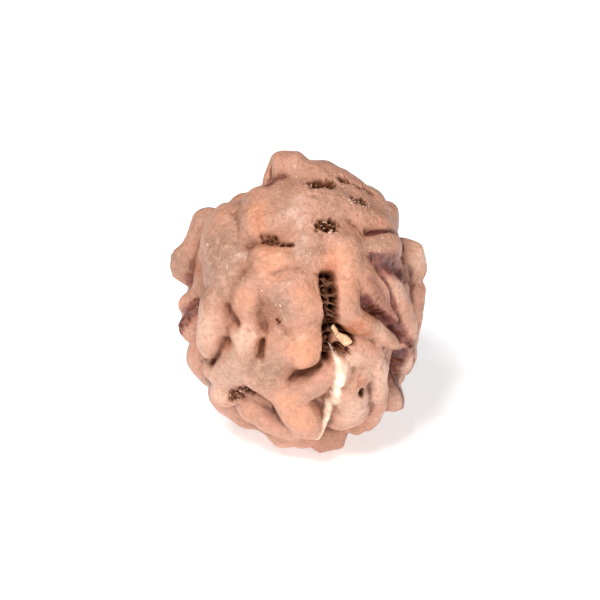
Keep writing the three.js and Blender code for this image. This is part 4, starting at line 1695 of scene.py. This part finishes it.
def twenty_sided() -> Mesh:
    """A twenty-sided ball of radius 1: the corners of three golden rectangles, and all near threes of them.

    Returns:
        Its corners and its triangles, which face outwards.
    """
    golden = (1 + math.sqrt(5)) / 2
    corners = np.array([(0, a, b * golden) for a in (-1, 1) for b in (-1, 1)], dtype=float)
    ball = np.concatenate([np.roll(corners, turn, axis=1) for turn in range(3)]) / math.hypot(1, golden)
    longest_edge = 1.2
    gaps = np.linalg.norm(ball[:, None] - ball[None], axis=2)
    near = (gaps > 0) & (gaps < longest_edge)
    a, b, c = np.nonzero(near[:, :, None] & near[None, :, :] & near[:, None, :])
    outward = np.sum(np.cross(ball[b] - ball[a], ball[c] - ball[a]) * ball[a], axis=1) > 0
    once = (a < b) & (a < c) & outward
    return ball, np.stack([a, b, c], axis=1)[once]


@dataclass
class Crumbs:
    """Pale crumbs of dried flesh, caught round the pits, in the creases and on the dusty places."""

    stone: Stone
    count: int = 420
    smallest: float = 0.03
    largest: float = 0.13
    small_power: int = 3
    stretch: tuple[float, float] = (0.45, 1.5)
    dents: tuple[float, float] = (0.65, 1.25)
    sunk: float = 0.1
    floor_gap: float = 0.5
    back_edge: float = -0.6
    seed: int = 4

    def build(self, share: np.ndarray) -> bpy.types.Object:
        """Scatters the crumbs: the more grit there is at a point of the stone, the likelier it is drawn.

        Args:
            share: how gritty each point of the stone is, from 0 to 1.

        Returns:
            One piece of all of them. Each is an uneven twenty-sided lump, half sunk.
        """
        draws = np.random.default_rng(self.seed)
        places = self.stone.points
        seen = self.stone.normals @ self.stone.face.out > self.back_edge
        chance = share**2 * seen * (places[:, 2] > self.floor_gap)
        picks = draws.choice(len(places), self.count, replace=False, p=chance / chance.sum())
        ball, triangles = twenty_sided()
        size = self.smallest + (self.largest - self.smallest) * draws.random(self.count) ** self.small_power
        stretch = draws.uniform(*self.stretch, (self.count, 1, 3))
        dents = draws.uniform(*self.dents, (self.count, len(ball), 1))
        lumps = ball[None] * stretch * size[:, None, None] * dents
        middles = places[picks] - self.stone.normals[picks] * size[:, None] * self.sunk
        points = middles[:, None, :] + lumps
        numbers = triangles[None] + len(ball) * np.arange(self.count)[:, None, None]
        shape = (points.reshape(-1, 3), numbers.reshape(-1, 3))
        crumbs = mesh_object("crumbs", shape, small_piece_material(CRUMB_FINISH))
        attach(crumbs, BODY)
        return crumbs


def report(piece: bpy.types.Object) -> None:
    """Writes a piece's name and its number of faces to the log."""
    log.info("%s: %d faces", piece.name, len(piece.data.polygons))


@dataclass(frozen=True)
class Lamp:
    """A square soft light that faces the bead: its place and size in metres, and its power in watts."""

    name: str
    place: tuple[float, float, float]
    size: float
    power: float


@dataclass
class Studio:
    """A plain pale floor, soft lights and the camera, which stands where the photo was taken. In metres."""

    stone: Stone
    floor_half: float = 1.0
    floor_tones: tuple[Colour, Colour] = ((0.92, 0.92, 0.92), (0.95, 0.95, 0.95))
    floor_blotches: Noise = Noise(40.0, 2.0)
    floor_roughness: float = 0.6
    floor_glow: float = 0.55
    white: Colour = (1.0, 1.0, 1.0)
    key: Lamp = Lamp("key", (-0.07, -0.18, 0.25), 0.085, 0.95)
    fill: Lamp = Lamp("fill", (0.12, -0.25, 0.03), 0.16, 0.2)
    aim: tuple[float, float, float] = (0.0, 0.0, 0.012)
    surroundings: float = 0.24
    distance: float = 0.35
    field_width: float = 0.05
    sensor: float = 36.0
    lower_by_mm: float = 2 / 12

    def floor(self) -> None:
        """Lays a floor that the bead stands on."""
        half = self.floor_half / MM
        corners = np.array([(-half, -half, 0.0), (half, -half, 0.0), (half, half, 0.0), (-half, half, 0.0)])
        shade = Shade("pale_floor")
        inputs = shade.shader.inputs
        shade.link(shade.blend(shade.noise(self.floor_blotches), *self.floor_tones), inputs["Base Color"])
        inputs["Roughness"].default_value = self.floor_roughness
        inputs["Emission Color"].default_value = (*self.white, 1.0)
        inputs["Emission Strength"].default_value = self.floor_glow
        mesh_object("floor", (corners, np.array([[0, 1, 2, 3]])), shade.material)

    def hang(self, lamp: Lamp) -> None:
        """Hangs a lamp, turned to the bead.

        Args:
            lamp: its place, size and power.
        """
        light = bpy.data.lights.new(lamp.name, "AREA")
        light.size = lamp.size
        light.energy = lamp.power
        piece = bpy.data.objects.new(lamp.name, light)
        piece.location = lamp.place
        piece.rotation_mode = "QUATERNION"
        piece.rotation_quaternion = (Vector(self.aim) - Vector(lamp.place)).to_track_quat("-Z", "Y")
        bpy.context.scene.collection.objects.link(piece)

    def lights(self) -> None:
        """Sets a strong light over the front left, a weak low one on the right, and white surroundings."""
        self.hang(self.key)
        self.hang(self.fill)
        world = bpy.data.worlds.new("surroundings")
        bpy.context.scene.world = world
        world.use_nodes = True
        inputs = world.node_tree.nodes["Background"].inputs
        inputs["Color"].default_value = (*self.white, 1.0)
        inputs["Strength"].default_value = self.surroundings
        bpy.context.scene.view_settings.view_transform = "Standard"

    def camera(self) -> None:
        """Sets the camera in line with the face, a little below the stone's middle."""
        face = self.stone.face
        out = Vector(face.out)
        middle = Vector((self.stone.shift - face.up * self.lower_by_mm) * MM)
        lens = bpy.data.cameras.new("camera")
        lens.sensor_width = self.sensor
        lens.lens = self.sensor * self.distance / self.field_width
        camera = bpy.data.objects.new("camera", lens)
        camera.location = middle + out * self.distance
        camera.rotation_mode = "QUATERNION"
        camera.rotation_quaternion = (-out).to_track_quat("-Z", "Y")
        bpy.context.scene.collection.objects.link(camera)
        bpy.context.scene.camera = camera

    def build(self) -> None:
        """Builds the floor, the lights and the camera."""
        self.floor()
        self.lights()
        self.camera()


def main() -> None:
    """Builds the stone, what stands on it, and the studio, and reports each piece."""
    logging.basicConfig(level=logging.INFO, format="%(name)s: %(message)s")
    stone = Stone()
    report(stone.build())
    report(CleftFibres(stone).build())
    report(TornChip(stone).build())
    report(Crumbs(stone).build(stone.shares[Layer.GRIT_AND_GLINT]))
    Studio(stone).build()


if __name__ == "__main__":
    main()
